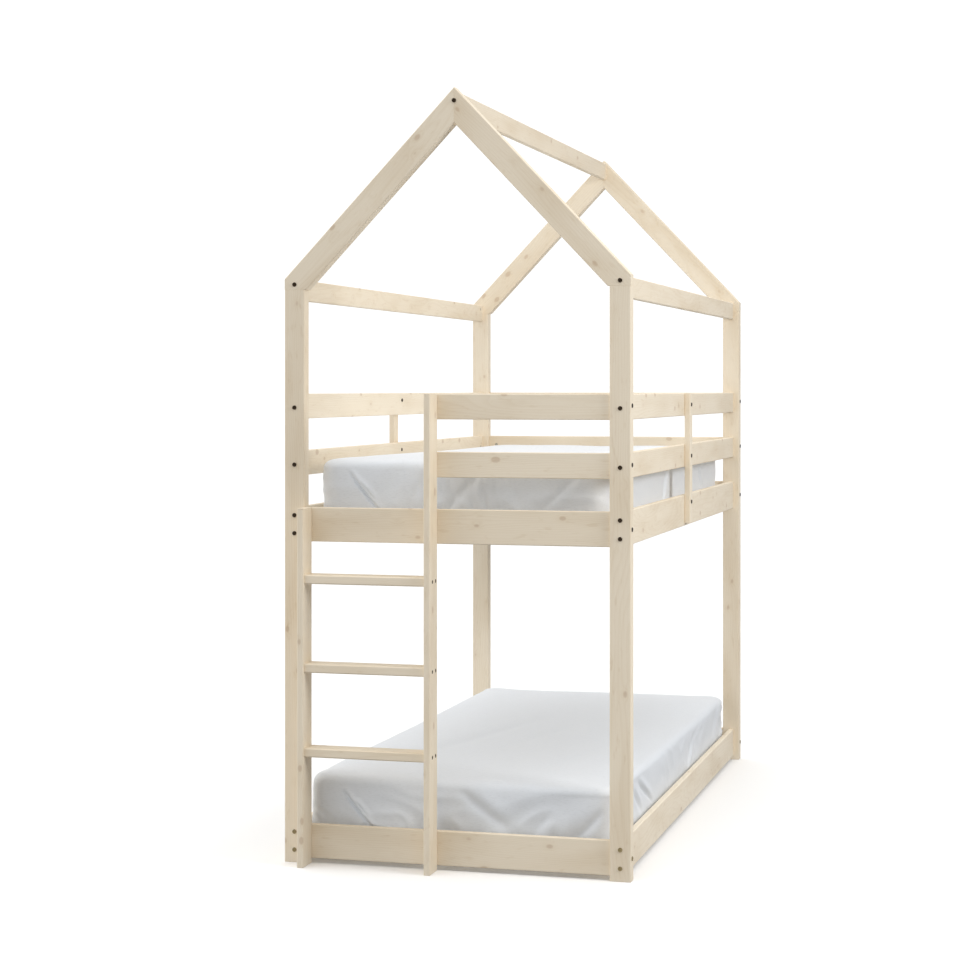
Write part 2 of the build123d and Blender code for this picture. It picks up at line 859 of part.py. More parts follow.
# Screws: rungs, ladder and ledgers
all_rung_screw_planes = [plane for side in sides for plane in rung_screw_planes[side]]
all_ladder_screw_planes = [plane for rail in rail_middles for plane in ladder_screw_planes(rail)]
save(group(screw_shape(rung_screw_length), all_rung_screw_planes), "rung_screws")
save(group(screw_shape(ladder_screw_length), all_ladder_screw_planes), "ladder_screws")
all_ledger_screw_planes = [
    plane for bed in slat_tops for sign in sides.values() for plane in ledger_screw_planes(bed, sign)
]
save(group(screw_shape(ledger_screw_length), all_ledger_screw_planes), "ledger_screws")
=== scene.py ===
import math

import bmesh
import bpy
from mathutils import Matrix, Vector, noise


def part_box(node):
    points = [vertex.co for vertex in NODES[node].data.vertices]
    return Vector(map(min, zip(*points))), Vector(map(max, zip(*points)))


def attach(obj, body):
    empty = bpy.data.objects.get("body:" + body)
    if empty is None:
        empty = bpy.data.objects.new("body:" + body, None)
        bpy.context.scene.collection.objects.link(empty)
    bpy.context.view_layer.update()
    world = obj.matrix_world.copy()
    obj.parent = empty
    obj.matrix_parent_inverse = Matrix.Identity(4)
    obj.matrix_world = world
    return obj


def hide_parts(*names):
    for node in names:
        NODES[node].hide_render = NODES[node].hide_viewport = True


bl_info = {
    "name": "House bunk bed",
    "version": (1, 0, 0),
    "blender": (4, 5, 0),
    "location": "3D View > Sidebar > Bunk Bed",
    "description": "Finishes a pine house bunk bed: wood, fixings, fitted sheets and studio",
    "category": "Object",
}

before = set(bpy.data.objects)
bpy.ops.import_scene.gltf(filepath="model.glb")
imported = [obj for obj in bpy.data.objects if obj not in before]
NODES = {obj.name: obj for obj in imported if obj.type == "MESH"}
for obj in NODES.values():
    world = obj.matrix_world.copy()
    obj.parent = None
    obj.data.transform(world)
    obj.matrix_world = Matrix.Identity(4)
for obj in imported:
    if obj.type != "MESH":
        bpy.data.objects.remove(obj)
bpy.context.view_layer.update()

MM = 0.001
FRAME_BODY = "frame"
BEDS = ("lower", "upper")

# The photograph's own frame, and where its camera stood
IMAGE_SIDE = 980
FOCAL_PIXELS = 2126.77
PRINCIPAL_POINT = (499.57, 388.75)
CAMERA_PLACE = (1.6093, -6.52025, 1.3147)
CAMERA_TURN = math.radians(14.91)
SENSOR_WIDTH = 36.0

# How far each kind of board is turned so that its grain lies along Z
ROOF_PITCH = math.radians(46.5)
GRAIN_TURNS = {
    "across": (0.0, -math.pi / 2, 0.0),
    "along": (math.pi / 2, 0.0, 0.0),
    "upright": (0.0, 0.0, 0.0),
    "left_slope": (0.0, -(math.pi / 2 - ROOF_PITCH), 0.0),
    "right_slope": (0.0, math.pi / 2 - ROOF_PITCH, 0.0),
}
GRAIN_OF_NODES = {
    "across": (
        "lower_rail_front", "lower_rail_back", "upper_rail_front", "upper_rail_back",
        "guard_mid_front", "guard_mid_back", "guard_top_front", "guard_top_back",
        "ladder_rung_1", "ladder_rung_2", "ladder_rung_3",
    ),
    "along": (
        "lower_rail_left", "lower_rail_right", "upper_rail_left", "upper_rail_right",
        "guard_mid_left", "guard_mid_right", "guard_top_left", "guard_top_right",
        "eave_rail_left", "eave_rail_right", "ridge_beam",
        "lower_ledger_left", "lower_ledger_right", "upper_ledger_left", "upper_ledger_right",
    ),
    "upright": (
        "post_front_left", "post_front_right", "post_back_left", "post_back_right",
        "guard_brace_left", "guard_brace_right", "ladder_upright_left", "ladder_upright_right",
    ),
    "left_slope": ("rafter_front_left", "rafter_back_left"),
    "right_slope": ("rafter_front_right", "rafter_back_right"),
}
SLAT_NODES = ("lower_slats", "upper_slats")

# The pine's figure. The shifts and the roll give each board its own place in the tree
BOARD_SHIFTS = (3.7, 11.3, 29.0)
BOARD_ROLL = 47.0
RING_WANDER = 85 * MM
RING_BEND = 6 * MM
KNOT_LENGTH_SHARE = 0.62
KNOT_EDGE_SHARE = 0.6
SWIRL_SHARE = 3.0
KNOT_STRENGTH = 0.34
# How often each pattern comes in a metre, on both axes across the grain and along it, with its
# detail and roughness. The rings wander over 143 by 770 mm. Real fibres are far finer than these,
# which are 1.6 by 110 mm so that they show. Patches are 77 by 312 mm and flecks 11 by 38 mm
PINE_PATTERNS = {
    "wander": ((7.0, 7.0, 1.3), 2.0, 0.45),
    "fibres": ((620.0, 620.0, 9.0), 3.0, 0.6),
    "patches": ((13.0, 13.0, 3.2), 1.0, 0.5),
    "flecks": ((95.0, 95.0, 26.0), 2.0, 0.5),
}
# The part of a pattern's range over which it darkens the wood, and by how much
PINE_STAINS = {
    "fibres": (0.35, 0.75, 0.12),
    "patches": (0.4, 0.75, 0.27),
    "flecks": (0.58, 0.8, 0.22),
}
LATE_WOOD_STAIN = 0.1
BOARD_STAIN = 0.12
SWIRL_STAIN = 0.14

# The cloths. Real percale's threads are 0.25 mm apart, and these are coarser so that they show.
# Its slubs are 11 by 2.4 mm and its creases 45 mm apart. The webbing's ribs are 1.6 mm apart
THREAD = 1.1 * MM
SLUBS_IN_A_METRE = (90.0, 420.0, 420.0)
CREASES_IN_A_METRE = 22.0
RIB = 1.6 * MM
# The floor paper's tooth is 1.1 mm apart
TOOTH_IN_A_METRE = 900.0

# How far the boards' edges are eased, and from which angle on
EDGE_EASE = 0.6 * MM
EASED_ANGLE = math.radians(25)

# The fixings and the tapes. Bolts below the low height are in the lower bed's rails, and their heads get a
# lighter copy of the bolt metal, with the white floor's reflection painted into its colour
FIXING_SIDES = 24
SMOOTH_ANGLE = math.radians(32)
LOW_BOLT_HEIGHT = 0.3
LEVEL_STEP = 0.05 * MM
WELD_DISTANCE = 0.01 * MM
TAPE_SLACK = 2 * MM

# The studio, in metres. What the camera sees behind the bed is a little brighter than white
FLOOR_REACH = 14.0
FLOOR_DROP = 0.3 * MM
KEY_PLACE = (4.6, -1.6, 2.6)
KEY_AIM = (0.0, 0.1, 0.6)
KEY_SIZE = 2.2
SEEN_WHITE = 1.1

# The mattresses' edges, and the round corners of their plan
TOP_EDGE_RADIUS = 25 * MM
FOOT_EDGE_RADIUS = 26 * MM
EDGE_STEPS = 4
CORNER_RADIUS = {"lower": 62 * MM, "upper": 85 * MM}
# How far below the top of its space each mattress's cloth starts, to follow the photo's outline
TOP_DROP = {"lower": 0.0, "upper": 9 * MM}
# How much thinner a mattress is at its far end than at the ladder's end
FAR_END_DROP = 10 * MM
CROWN = 6 * MM
# The simulation runs for this many frames
CLOTH_FRAMES = 20

# The sheets' folds. A side is drawn in by the fold room, to let its folds stand out, and the
# side room is how far they may pass the mattress's space
FOLD_ROOM = 5 * MM
SIDE_ROOM = 2 * MM
BROAD_FOLD_DEPTH = 10 * MM
SHARP_FOLD_DEPTH = 15 * MM
PLEAT_DEPTH = 4 * MM
PLEAT_HEIGHT = 50 * MM
TOP_DRAG_DEPTH = 3.5 * MM
# The upper sheet lies smoother than the lower one
FOLD_SHARE = {"lower": 1.0, "upper": 0.55}
# Where in the noise each sheet reads its folds, and how often they come in a metre
FOLD_SEEDS = {"lower": Vector((3.1, 8.4, 0.6)), "upper": Vector((21.7, 4.9, 5.2))}
BROAD_FOLDS_IN_A_METRE = 9.0
SHARP_FOLDS_IN_A_METRE = 19.0
FOLD_PATCHES_IN_A_METRE = 4.0
PLEATS_IN_A_METRE = Vector((20.0, 20.0, 4.0))
# How far from the mattress's middle, across and along, its folds come to lean outwards
LEAN_REACH = (0.25, 0.6)
# The elastic hem under each mattress
HEM_INSET = 90 * MM
HEM_RISE = 3 * MM
HEM_WIDTH = 9 * MM
# A point faces up or down where its normal's height is past these
FACES_UP = 0.2
FACES_DOWN = -0.5
# A pinched fold in its own widths: how far it reaches, and the ridge of spare cloth beside its
# valley. Its ends run on by a share of its length
PINCH_REACH = 7.0
RIDGE_PLACE = 2.3
RIDGE_WIDTH = 1.7
RIDGE_HEIGHT = 0.6
END_OVERRUN = 0.15
# Pinched folds narrower than this get a finer mesh
NARROW_FOLD = 8 * MM
# Each pinched fold runs from one place to another and has a width and a depth
PINCHED_FOLDS = {
    "upper": (
        ((-0.318, -0.899, 1.074), (-0.246, -0.899, 0.982), 4.5 * MM, 10 * MM),
        ((-0.286, -0.899, 1.050), (-0.250, -0.899, 1.006), 3.5 * MM, 5 * MM),
        ((0.060, -0.899, 1.090), (-0.040, -0.899, 0.980), 11 * MM, 6 * MM),
        ((0.330, -0.899, 1.080), (0.230, -0.899, 0.985), 9 * MM, 6 * MM),
        ((0.430, -0.044, 1.080), (0.430, -0.108, 0.972), 6 * MM, 8 * MM),
        ((0.430, 0.520, 1.085), (0.430, 0.600, 0.970), 9 * MM, 5 * MM),
    ),
    "lower": (
        ((-0.328, -0.917, 0.186), (-0.256, -0.917, 0.102), 4.5 * MM, 10 * MM),
        ((-0.296, -0.917, 0.166), (-0.262, -0.917, 0.128), 3.5 * MM, 5 * MM),
        ((0.010, -0.917, 0.205), (0.130, -0.917, 0.120), 13 * MM, 7 * MM),
        ((0.395, -0.917, 0.165), (0.330, -0.917, 0.095), 9 * MM, 8 * MM),
        ((0.250, -0.917, 0.150), (0.205, -0.917, 0.095), 9 * MM, 5 * MM),
        ((0.447, -0.560, 0.190), (0.447, -0.390, 0.112), 7 * MM, 7 * MM),
        ((0.447, -0.640, 0.180), (0.447, -0.540, 0.110), 8 * MM, 6 * MM),
        ((0.447, 0.330, 0.190), (0.447, 0.220, 0.110), 10 * MM, 4 * MM),
        ((-0.215, -0.560, 0.236), (-0.040, 0.190, 0.240), 24 * MM, 3.2 * MM),
        ((-0.020, -0.420, 0.240), (0.120, 0.160, 0.240), 22 * MM, 1.8 * MM),
        ((0.180, -0.760, 0.236), (0.290, -0.250, 0.238), 26 * MM, 2.0 * MM),
    ),
}


# Settings that a user would change


class BunkBedWood(bpy.types.PropertyGroup):
    """Colours and sizes of the pine's figure."""

    early_colour: bpy.props.StringProperty(
        name="Early wood", description="sRGB hex colour of the pale early wood", default="#F6EAD5"
    )
    late_colour: bpy.props.StringProperty(
        name="Late wood", description="sRGB hex colour of the darker late wood", default="#D6C09E"
    )
    knot_colour: bpy.props.StringProperty(
        name="Knots", description="sRGB hex colour of the small pin knots", default="#B59272"
    )
    ring_width: bpy.props.FloatProperty(
        name="Ring width", description="Width of one year's growth", default=0.0042, unit="LENGTH"
    )
    knot_radius: bpy.props.FloatProperty(
        name="Knot radius", description="Radius of a pin knot", default=0.0065, unit="LENGTH"
    )
    knot_spacing: bpy.props.FloatProperty(
        name="Knot spacing", description="Usual distance between knots inside the wood", default=0.055,
        unit="LENGTH",
    )


class BunkBedFixings(bpy.types.PropertyGroup):
    """Sizes of the heads of the bolts and screws."""

    head_radius: bpy.props.FloatProperty(
        name="Bolt head radius", description="Radius of a bolt's round head", default=0.006, unit="LENGTH"
    )
    socket_radius: bpy.props.FloatProperty(
        name="Socket radius", description="Radius of the hexagon socket", default=0.0024, unit="LENGTH"
    )
    socket_depth: bpy.props.FloatProperty(
        name="Socket depth", description="Depth of the hexagon socket", default=0.0017, unit="LENGTH"
    )


class BunkBedBedding(bpy.types.PropertyGroup):
    """The fitted sheets' colour and how they lie."""

    sheet_colour: bpy.props.StringProperty(
        name="Sheet", description="sRGB hex colour of the cotton sheet", default="#E7EBF0"
    )
    ticking_colour: bpy.props.StringProperty(
        name="Ticking", description="sRGB hex colour of the mattress's own cover", default="#CFD2D6"
    )
    cell: bpy.props.FloatProperty(
        name="Cloth cell", description="Mesh size of the cloth while it is inflated", default=0.013,
        unit="LENGTH",
    )
    pressure: bpy.props.FloatProperty(
        name="Pressure", description="How hard the mattress fills its sheet", default=4.0
    )
    cap: bpy.props.FloatProperty(
        name="Greatest swell", description="How far the cloth may move as it fills", default=0.006,
        unit="LENGTH",
    )


class BunkBedStudio(bpy.types.PropertyGroup):
    """The floor and the lights."""

    floor_colour: bpy.props.StringProperty(
        name="Floor", description="sRGB hex colour of the paper floor", default="#FFFFFF"
    )
    key_power: bpy.props.FloatProperty(
        name="Key light", description="Power of the large light at the right", default=121.0, unit="POWER"
    )
    left_wall: bpy.props.FloatProperty(
        name="Left wall", description="Brightness of the room at the left", default=1.35, min=0.0
    )
    right_wall: bpy.props.FloatProperty(
        name="Right wall", description="Brightness of the room at the right", default=0.05, min=0.0
    )
    front_wall: bpy.props.FloatProperty(
        name="Front wall", description="Brightness of the room behind the camera", default=0.58, min=0.0
    )
    back_wall: bpy.props.FloatProperty(
        name="Back wall", description="Brightness of the room behind the bed", default=0.85, min=0.0
    )
    ceiling: bpy.props.FloatProperty(
        name="Ceiling", description="Brightness of the room overhead", default=1.5, min=0.0
    )


# Materials


def linear(hex_colour):
    """An sRGB hex colour as linear red, green, blue and alpha."""
    channels = [int(hex_colour[start : start + 2], 16) / 255 for start in (1, 3, 5)]
    turned = [c / 12.92 if c <= 0.04045 else ((c + 0.055) / 1.055) ** 2.4 for c in channels]
    return (*turned, 1.0)


def add(tree, kind, links=None, **settings):
    """A node with its settings. Each input takes a value, a socket or a node's first output."""
    node = tree.nodes.new(kind)
    for name, value in settings.items():
        setattr(node, name, value)
    for name, value in (links or {}).items():
        if isinstance(value, bpy.types.Node):
            value = value.outputs[0]
        if isinstance(value, bpy.types.NodeSocket):
            tree.links.new(value, node.inputs[name])
        else:
            node.inputs[name].default_value = value
    return node


def new_material(name):
    """An empty material and its node tree."""
    material = bpy.data.materials.new(name)
    material.use_nodes = True
    material.node_tree.nodes.clear()
    return material, material.node_tree


def sanded_pine(name, grain, wood, darker=0.0):
    """Planed and sanded bare pine: pale, faintly streaked along the grain, with a few pin knots."""
    # Bare softwood has no film of varnish, so its gloss is weak and broad and its colour is chalky
    material, tree = new_material(name)
    place = add(tree, "ShaderNodeTexCoord").outputs["Object"]
    chance = add(tree, "ShaderNodeObjectInfo").outputs["Random"]
    turned = add(tree, "ShaderNodeMapping", {"Vector": place, "Rotation": GRAIN_TURNS[grain]})
    shift = add(tree, "ShaderNodeVectorMath", {0: chance, 1: BOARD_SHIFTS}, operation="MULTIPLY")
    board = add(tree, "ShaderNodeVectorMath", {0: turned, 1: shift}, operation="ADD")
    patterns = {}
    for pattern, (in_a_metre, detail, roughness) in PINE_PATTERNS.items():
        scaled = add(tree, "ShaderNodeVectorMath", {0: board, 1: in_a_metre}, operation="MULTIPLY")
        patterns[pattern] = add(
            tree, "ShaderNodeTexNoise",
            {"Vector": scaled, "Scale": 1.0, "Detail": detail, "Roughness": roughness},
        )
    # Knots: one in each cell of the wood, a little longer along the grain
    spacing, radius = wood.knot_spacing, wood.knot_radius
    in_cells = (1 / spacing, 1 / spacing, KNOT_LENGTH_SHARE / spacing)
    scaled = add(tree, "ShaderNodeVectorMath", {0: board, 1: in_cells}, operation="MULTIPLY")
    cells = add(
        tree, "ShaderNodeTexVoronoi", {"Vector": scaled, "Scale": 1.0, "Randomness": 1.0}, feature="F1"
    ).outputs
    distance = add(tree, "ShaderNodeMath", {0: cells["Distance"], 1: spacing}, operation="MULTIPLY")
    size = add(tree, "ShaderNodeMath", {0: cells["Color"], 1: radius}, operation="MULTIPLY")
    edge = add(tree, "ShaderNodeMath", {0: distance, 1: size}, operation="SUBTRACT")
    # 1 inside a knot, and 1 at its middle, each eased to 0 further out
    knot, swirl = (
        add(
            tree, "ShaderNodeMapRange",
            {"Value": value, "From Min": 0.0, "From Max": radius * reach, "To Min": 1.0, "To Max": 0.0},
            interpolation_type="SMOOTHSTEP",
        )
        for value, reach in ((edge, KNOT_EDGE_SHARE), (distance, SWIRL_SHARE))
    )
    # Year rings: nearly flat layers that wander slowly along the tree and part round each knot
    roll = add(tree, "ShaderNodeMath", {0: chance, 1: BOARD_ROLL}, operation="MULTIPLY")
    rolled = add(
        tree, "ShaderNodeVectorRotate", {"Vector": board, "Angle": roll}, rotation_type="Z_AXIS"
    )
    layer = add(tree, "ShaderNodeSeparateXYZ", {0: rolled}).outputs["X"]
    for value, push in ((patterns["wander"], RING_WANDER), (swirl, RING_BEND)):
        layer = add(tree, "ShaderNodeMath", {0: value, 1: push, 2: layer}, operation="MULTIPLY_ADD")
    years = add(tree, "ShaderNodeMath", {0: layer, 1: wood.ring_width}, operation="DIVIDE")
    year = add(tree, "ShaderNodeMath", {0: years}, operation="FRACT")
    # The late wood darkens slowly through a year and ends at once
    onset = add(
        tree, "ShaderNodeMapRange", {"Value": year, "From Min": 0.35, "From Max": 0.9},
        interpolation_type="SMOOTHSTEP",
    )
    finish = add(
        tree, "ShaderNodeMapRange",
        {"Value": year, "From Min": 0.93, "From Max": 1.0, "To Min": 1.0, "To Max": 0.0},
        interpolation_type="SMOOTHSTEP",
    )
    late = add(tree, "ShaderNodeMath", {0: onset, 1: finish}, operation="MULTIPLY")
    stains = [(late, LATE_WOOD_STAIN), (chance, BOARD_STAIN), (swirl, SWIRL_STAIN)]
    for pattern, (low, high, strength) in PINE_STAINS.items():
        eased = add(
            tree, "ShaderNodeMapRange", {"Value": patterns[pattern], "From Min": low, "From Max": high},
            interpolation_type="SMOOTHSTEP",
        )
        stains.append((eased, strength))
    share = darker
    for value, strength in stains:
        share = add(tree, "ShaderNodeMath", {0: value, 1: strength, 2: share}, operation="MULTIPLY_ADD")
    early, late_tone, knotty = map(linear, (wood.early_colour, wood.late_colour, wood.knot_colour))
    # A mix node's colours go in at 6 and 7 and come out at 2
    tone = add(tree, "ShaderNodeMix", {0: share, 6: early, 7: late_tone}, data_type="RGBA").outputs[2]
    share = add(tree, "ShaderNodeMath", {0: knot, 1: KNOT_STRENGTH}, operation="MULTIPLY")
    tone = add(tree, "ShaderNodeMix", {0: share, 6: tone, 7: knotty}, data_type="RGBA").outputs[2]
    # Sanding lifts the fibres a little, and the late wood lies a little lower
    relief = add(tree, "ShaderNodeMath", {0: late, 1: -0.35}, operation="MULTIPLY")
    relief = add(
        tree, "ShaderNodeMath", {0: patterns["fibres"], 1: 0.6, 2: relief}, operation="MULTIPLY_ADD"
    )
    bump = add(tree, "ShaderNodeBump", {"Height": relief, "Strength": 0.25, "Distance": 0.25 * MM})
    rough = add(
        tree, "ShaderNodeMapRange",
        {"Value": patterns["fibres"], "From Min": 0.3, "From Max": 0.7, "To Min": 0.52, "To Max": 0.66},
    )
    shader = add(
        tree, "ShaderNodeBsdfPrincipled",
        {"Base Color": tone, "Roughness": rough, "IOR": 1.45, "Specular IOR Level": 0.35, "Normal": bump},
    )
    add(tree, "ShaderNodeOutputMaterial", {"Surface": shader})
    return material


def metal(name, colour, rough_low, rough_high, grain_size):
    """A plated fixing's metal: a dull gleam, mottled at the size of its plating's grain."""
    material, tree = new_material(name)
    place = add(tree, "ShaderNodeTexCoord").outputs["Object"]
    mottle = add(
        tree, "ShaderNodeTexNoise",
        {"Vector": place, "Scale": 1 / grain_size, "Detail": 4.0, "Roughness": 0.6},
    )
    thin = add(
        tree, "ShaderNodeMapRange", {"Value": mottle, "From Min": 0.45, "From Max": 0.8},
        interpolation_type="SMOOTHSTEP",
    )
    # Where the plating is thin the steel shines through it lighter
    tint = linear(colour)
    worn = tuple(min(1.0, channel * 1.7) for channel in tint[:3]) + (1.0,)
    tone = add(tree, "ShaderNodeMix", {0: thin, 6: tint, 7: worn}, data_type="RGBA").outputs[2]
    rough = add(
        tree, "ShaderNodeMapRange",
        {"Value": mottle, "From Min": 0.3, "From Max": 0.7, "To Min": rough_low, "To Max": rough_high},
    )
    bump = add(tree, "ShaderNodeBump", {"Height": mottle, "Strength": 0.2, "Distance": 0.1 * MM})
    shader = add(
        tree, "ShaderNodeBsdfPrincipled",
        {"Base Color": tone, "Metallic": 1.0, "Roughness": rough, "Normal": bump},
    )
    add(tree, "ShaderNodeOutputMaterial", {"Surface": shader})
    return material


def cotton_percale(name, colour):
    """Woven cotton percale: matt white, soft at grazing angles, with a fine over-and-under weave."""
    material, tree = new_material(name)
    place = add(tree, "ShaderNodeTexCoord").outputs["Object"]
    in_threads = (math.tau / THREAD,) * 3
    scaled = add(tree, "ShaderNodeVectorMath", {0: place, 1: in_threads}, operation="MULTIPLY")
    axes = add(tree, "ShaderNodeSeparateXYZ", {0: scaled}).outputs
    x, y, z = (add(tree, "ShaderNodeMath", {0: axes[axis]}, operation="SINE") for axis in ("X", "Y", "Z"))
    weave = 0.0
    for one, other in ((x, y), (z, x), (y, z)):
        weave = add(tree, "ShaderNodeMath", {0: one, 1: other, 2: weave}, operation="MULTIPLY_ADD")
    scaled = add(tree, "ShaderNodeVectorMath", {0: place, 1: SLUBS_IN_A_METRE}, operation="MULTIPLY")
    slubs = add(tree, "ShaderNodeTexNoise", {"Vector": scaled, "Scale": 1.0, "Detail": 3.0})
    relief = add(
        tree, "ShaderNodeTexNoise",
        {"Vector": place, "Scale": CREASES_IN_A_METRE, "Detail": 5.0, "Roughness": 0.55},
    )
    for value, height in ((weave, 0.05), (slubs, 0.25)):
        relief = add(tree, "ShaderNodeMath", {0: value, 1: height, 2: relief}, operation="MULTIPLY_ADD")
    bump = add(tree, "ShaderNodeBump", {"Height": relief, "Strength": 0.35, "Distance": 1.2 * MM})
    # A thread looks a little darker where it is thick
    thick = add(
        tree, "ShaderNodeMapRange", {"Value": slubs, "From Min": 0.45, "From Max": 0.8},
        interpolation_type="SMOOTHSTEP",
    )
    white = linear(colour)
    shaded = tuple(channel * 0.93 for channel in white[:3]) + (1.0,)
    tone = add(tree, "ShaderNodeMix", {0: thick, 6: white, 7: shaded}, data_type="RGBA").outputs[2]
    shader = add(
        tree, "ShaderNodeBsdfPrincipled",
        {"Base Color": tone, "Roughness": 0.88, "IOR": 1.5, "Specular IOR Level": 0.25,
         "Sheen Weight": 0.25, "Sheen Roughness": 0.45, "Sheen Tint": (1.0, 1.0, 1.0, 1.0),
         "Normal": bump},
    )
    add(tree, "ShaderNodeOutputMaterial", {"Surface": shader})
    return material


def woven_tape(name):
    """Polyester webbing: off-white ribs across the tape, with a painted highlight on each rib and painted
    shade between the ribs.
    """
    material, tree = new_material(name)
    place = add(tree, "ShaderNodeTexCoord").outputs["Object"]
    in_ribs = (math.tau / RIB,) * 3
    scaled = add(tree, "ShaderNodeVectorMath", {0: place, 1: in_ribs}, operation="MULTIPLY")
    axes = add(tree, "ShaderNodeSeparateXYZ", {0: scaled}).outputs
    ribs = add(tree, "ShaderNodeMath", {0: axes["Y"]}, operation="SINE")
    aslant = add(tree, "ShaderNodeMath", {0: axes["X"], 1: axes["Y"]}, operation="ADD")
    twill = add(tree, "ShaderNodeMath", {0: aslant}, operation="SINE")
    relief = add(tree, "ShaderNodeMath", {0: twill, 1: 0.4, 2: ribs}, operation="MULTIPLY_ADD")
    bump = add(tree, "ShaderNodeBump", {"Height": relief, "Strength": 0.5, "Distance": 0.4 * MM})
    # Painted light and shade: the tops of the ribs are coloured lighter and the hollows between them
    # darker
    painted_rib_light_and_shade = add(
        tree, "ShaderNodeMapRange", {"Value": relief, "From Min": -1.2, "From Max": 1.2},
        interpolation_type="SMOOTHSTEP",
    )
    tone = add(
        tree, "ShaderNodeMix", {0: painted_rib_light_and_shade, 6: linear("#C9C3B4"), 7: linear("#E6E1D5")}, data_type="RGBA"
    ).outputs[2]
    shader = add(
        tree, "ShaderNodeBsdfPrincipled",
        {"Base Color": tone, "Roughness": 0.6, "IOR": 1.54, "Normal": bump},
    )
    add(tree, "ShaderNodeOutputMaterial", {"Surface": shader})
    return material


def paper_floor(name, colour):
    """A roll of matt white studio paper, with the faintest tooth."""
    material, tree = new_material(name)
    place = add(tree, "ShaderNodeTexCoord").outputs["Object"]
    tooth = add(
        tree, "ShaderNodeTexNoise", {"Vector": place, "Scale": TOOTH_IN_A_METRE, "Detail": 2.0}
    )
    bump = add(tree, "ShaderNodeBump", {"Height": tooth, "Strength": 0.05, "Distance": 0.2 * MM})
    shader = add(
        tree, "ShaderNodeBsdfPrincipled",
        {"Base Color": linear(colour), "Roughness": 0.9, "Specular IOR Level": 0.1, "Normal": bump},
    )
    add(tree, "ShaderNodeOutputMaterial", {"Surface": shader})
    return material


# Meshes


def mesh_object(name, mesh, material, body=FRAME_BODY):
    """A new object in the scene, with its material, riding on its body."""
    piece = bpy.data.objects.new(name, mesh)
    bpy.context.scene.collection.objects.link(piece)
    piece.data.materials.append(material)
    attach(piece, body)
    return piece


def islands(node):
    """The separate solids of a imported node, each as a list of its corners."""
    shape = bmesh.new()
    shape.from_mesh(NODES[node].data)
    bmesh.ops.remove_doubles(shape, verts=shape.verts, dist=WELD_DISTANCE)
    unseen = set(shape.verts)
    found = []
    for start in list(shape.verts):
        if start not in unseen:
            continue
        unseen.discard(start)
        waiting, corners = [start], []
        while waiting:
            vertex = waiting.pop()
            corners.append(vertex.co.copy())
            for edge in vertex.link_edges:
                other = edge.other_vert(vertex)
                if other in unseen:
                    unseen.discard(other)
                    waiting.append(other)
        found.append(corners)
    shape.free()
    if not found:
        raise RuntimeError(f"{node} has no solids")
    return found


def middle_of(corners):
    """The middle and the size of the box round some points."""
    low = Vector(min(corner[axis] for corner in corners) for axis in range(3))
    high = Vector(max(corner[axis] for corner in corners) for axis in range(3))
    return (low + high) / 2, high - low


def longest_axis(size):
    """The number of the axis along which a box is longest."""
    return max(range(3), key=lambda axis: size[axis])


def along_axis(number, length):
    """A vector of some length along one axis."""
    vector = Vector((0.0, 0.0, 0.0))
    vector[number] = length
    return vector


def band(low, high, count):
    """The faces between two rings of points, given the numbers of each ring's first point."""
    faces = []
    for side in range(count):
        after = (side + 1) % count
        faces.append((low + side, low + after, high + after, high + side))
    return faces


def spun(profile, sides, place, axis):
    """The points and faces of a profile of (radius, height) turned round an axis from a place."""
    turn = axis.to_track_quat("Z", "Y").to_matrix()
    points, faces = [], []
    for radius, height in profile:
        for side in range(sides):
            angle = math.tau * side / sides
            around = Vector((radius * math.cos(angle), radius * math.sin(angle), height))
            points.append(place + turn @ around)
    for ring in range(len(profile) - 1):
        faces += band(ring * sides, (ring + 1) * sides, sides)
    return points, faces


def joined_mesh(name, shapes):
    """One mesh of many (points, faces) shapes, smooth apart from its sharp edges."""
    points, faces = [], []
    for shape_points, shape_faces in shapes:
        start = len(points)
        points += shape_points
        faces += [tuple(start + corner for corner in face) for face in shape_faces]
    mesh = bpy.data.meshes.new(name)
    mesh.from_pydata([tuple(point) for point in points], [], faces)
    mesh.validate()
    shape = bmesh.new()
    shape.from_mesh(mesh)
    bmesh.ops.recalc_face_normals(shape, faces=shape.faces)
    for face in shape.faces:
        face.smooth = True
    for edge in shape.edges:
        edge.smooth = edge.calc_face_angle(math.pi) < SMOOTH_ANGLE
    shape.to_mesh(mesh)
    shape.free()
    return mesh


def hexagon(sides, radius):
    """Points of a hexagon's outline, evenly turned."""
    points = []
    for side in range(sides):
        angle = math.tau * side / sides
        reach = radius * math.cos(math.tau / 12) / math.cos(angle % (math.tau / 6) - math.tau / 12)
        points.append((reach * math.cos(angle), reach * math.sin(angle)))
    return points


def slot(sides, half_length, half_width):
    """Points of a narrow slot's outline, evenly turned as far as its corners let them."""
    points = []
    for side in range(sides):
        angle = math.tau * side / sides
        points.append((half_length * math.cos(angle), half_width * max(-1, min(1, 3 * math.sin(angle)))))
    return points


def recessed_fixing(place, axis, profile, recess, depth):
    """A turned fixing, from its tip to the rim of its face, with a recess sunk in the face."""
    sides = FIXING_SIDES
    points, faces = spun(profile, sides, place, axis)
    turn = axis.to_track_quat("Z", "Y").to_matrix()
    face_level = profile[-1][1]
    last = len(points) - sides
    for level in (face_level, face_level - depth):
        points += [place + turn @ Vector((x, y, level)) for x, y in recess]
    for ring in range(2):
        faces += band(last + ring * sides, last + (ring + 1) * sides, sides)
    faces.append(tuple(reversed(range(sides))))
    faces.append(tuple(last + 2 * sides + side for side in range(sides)))
    return points, faces


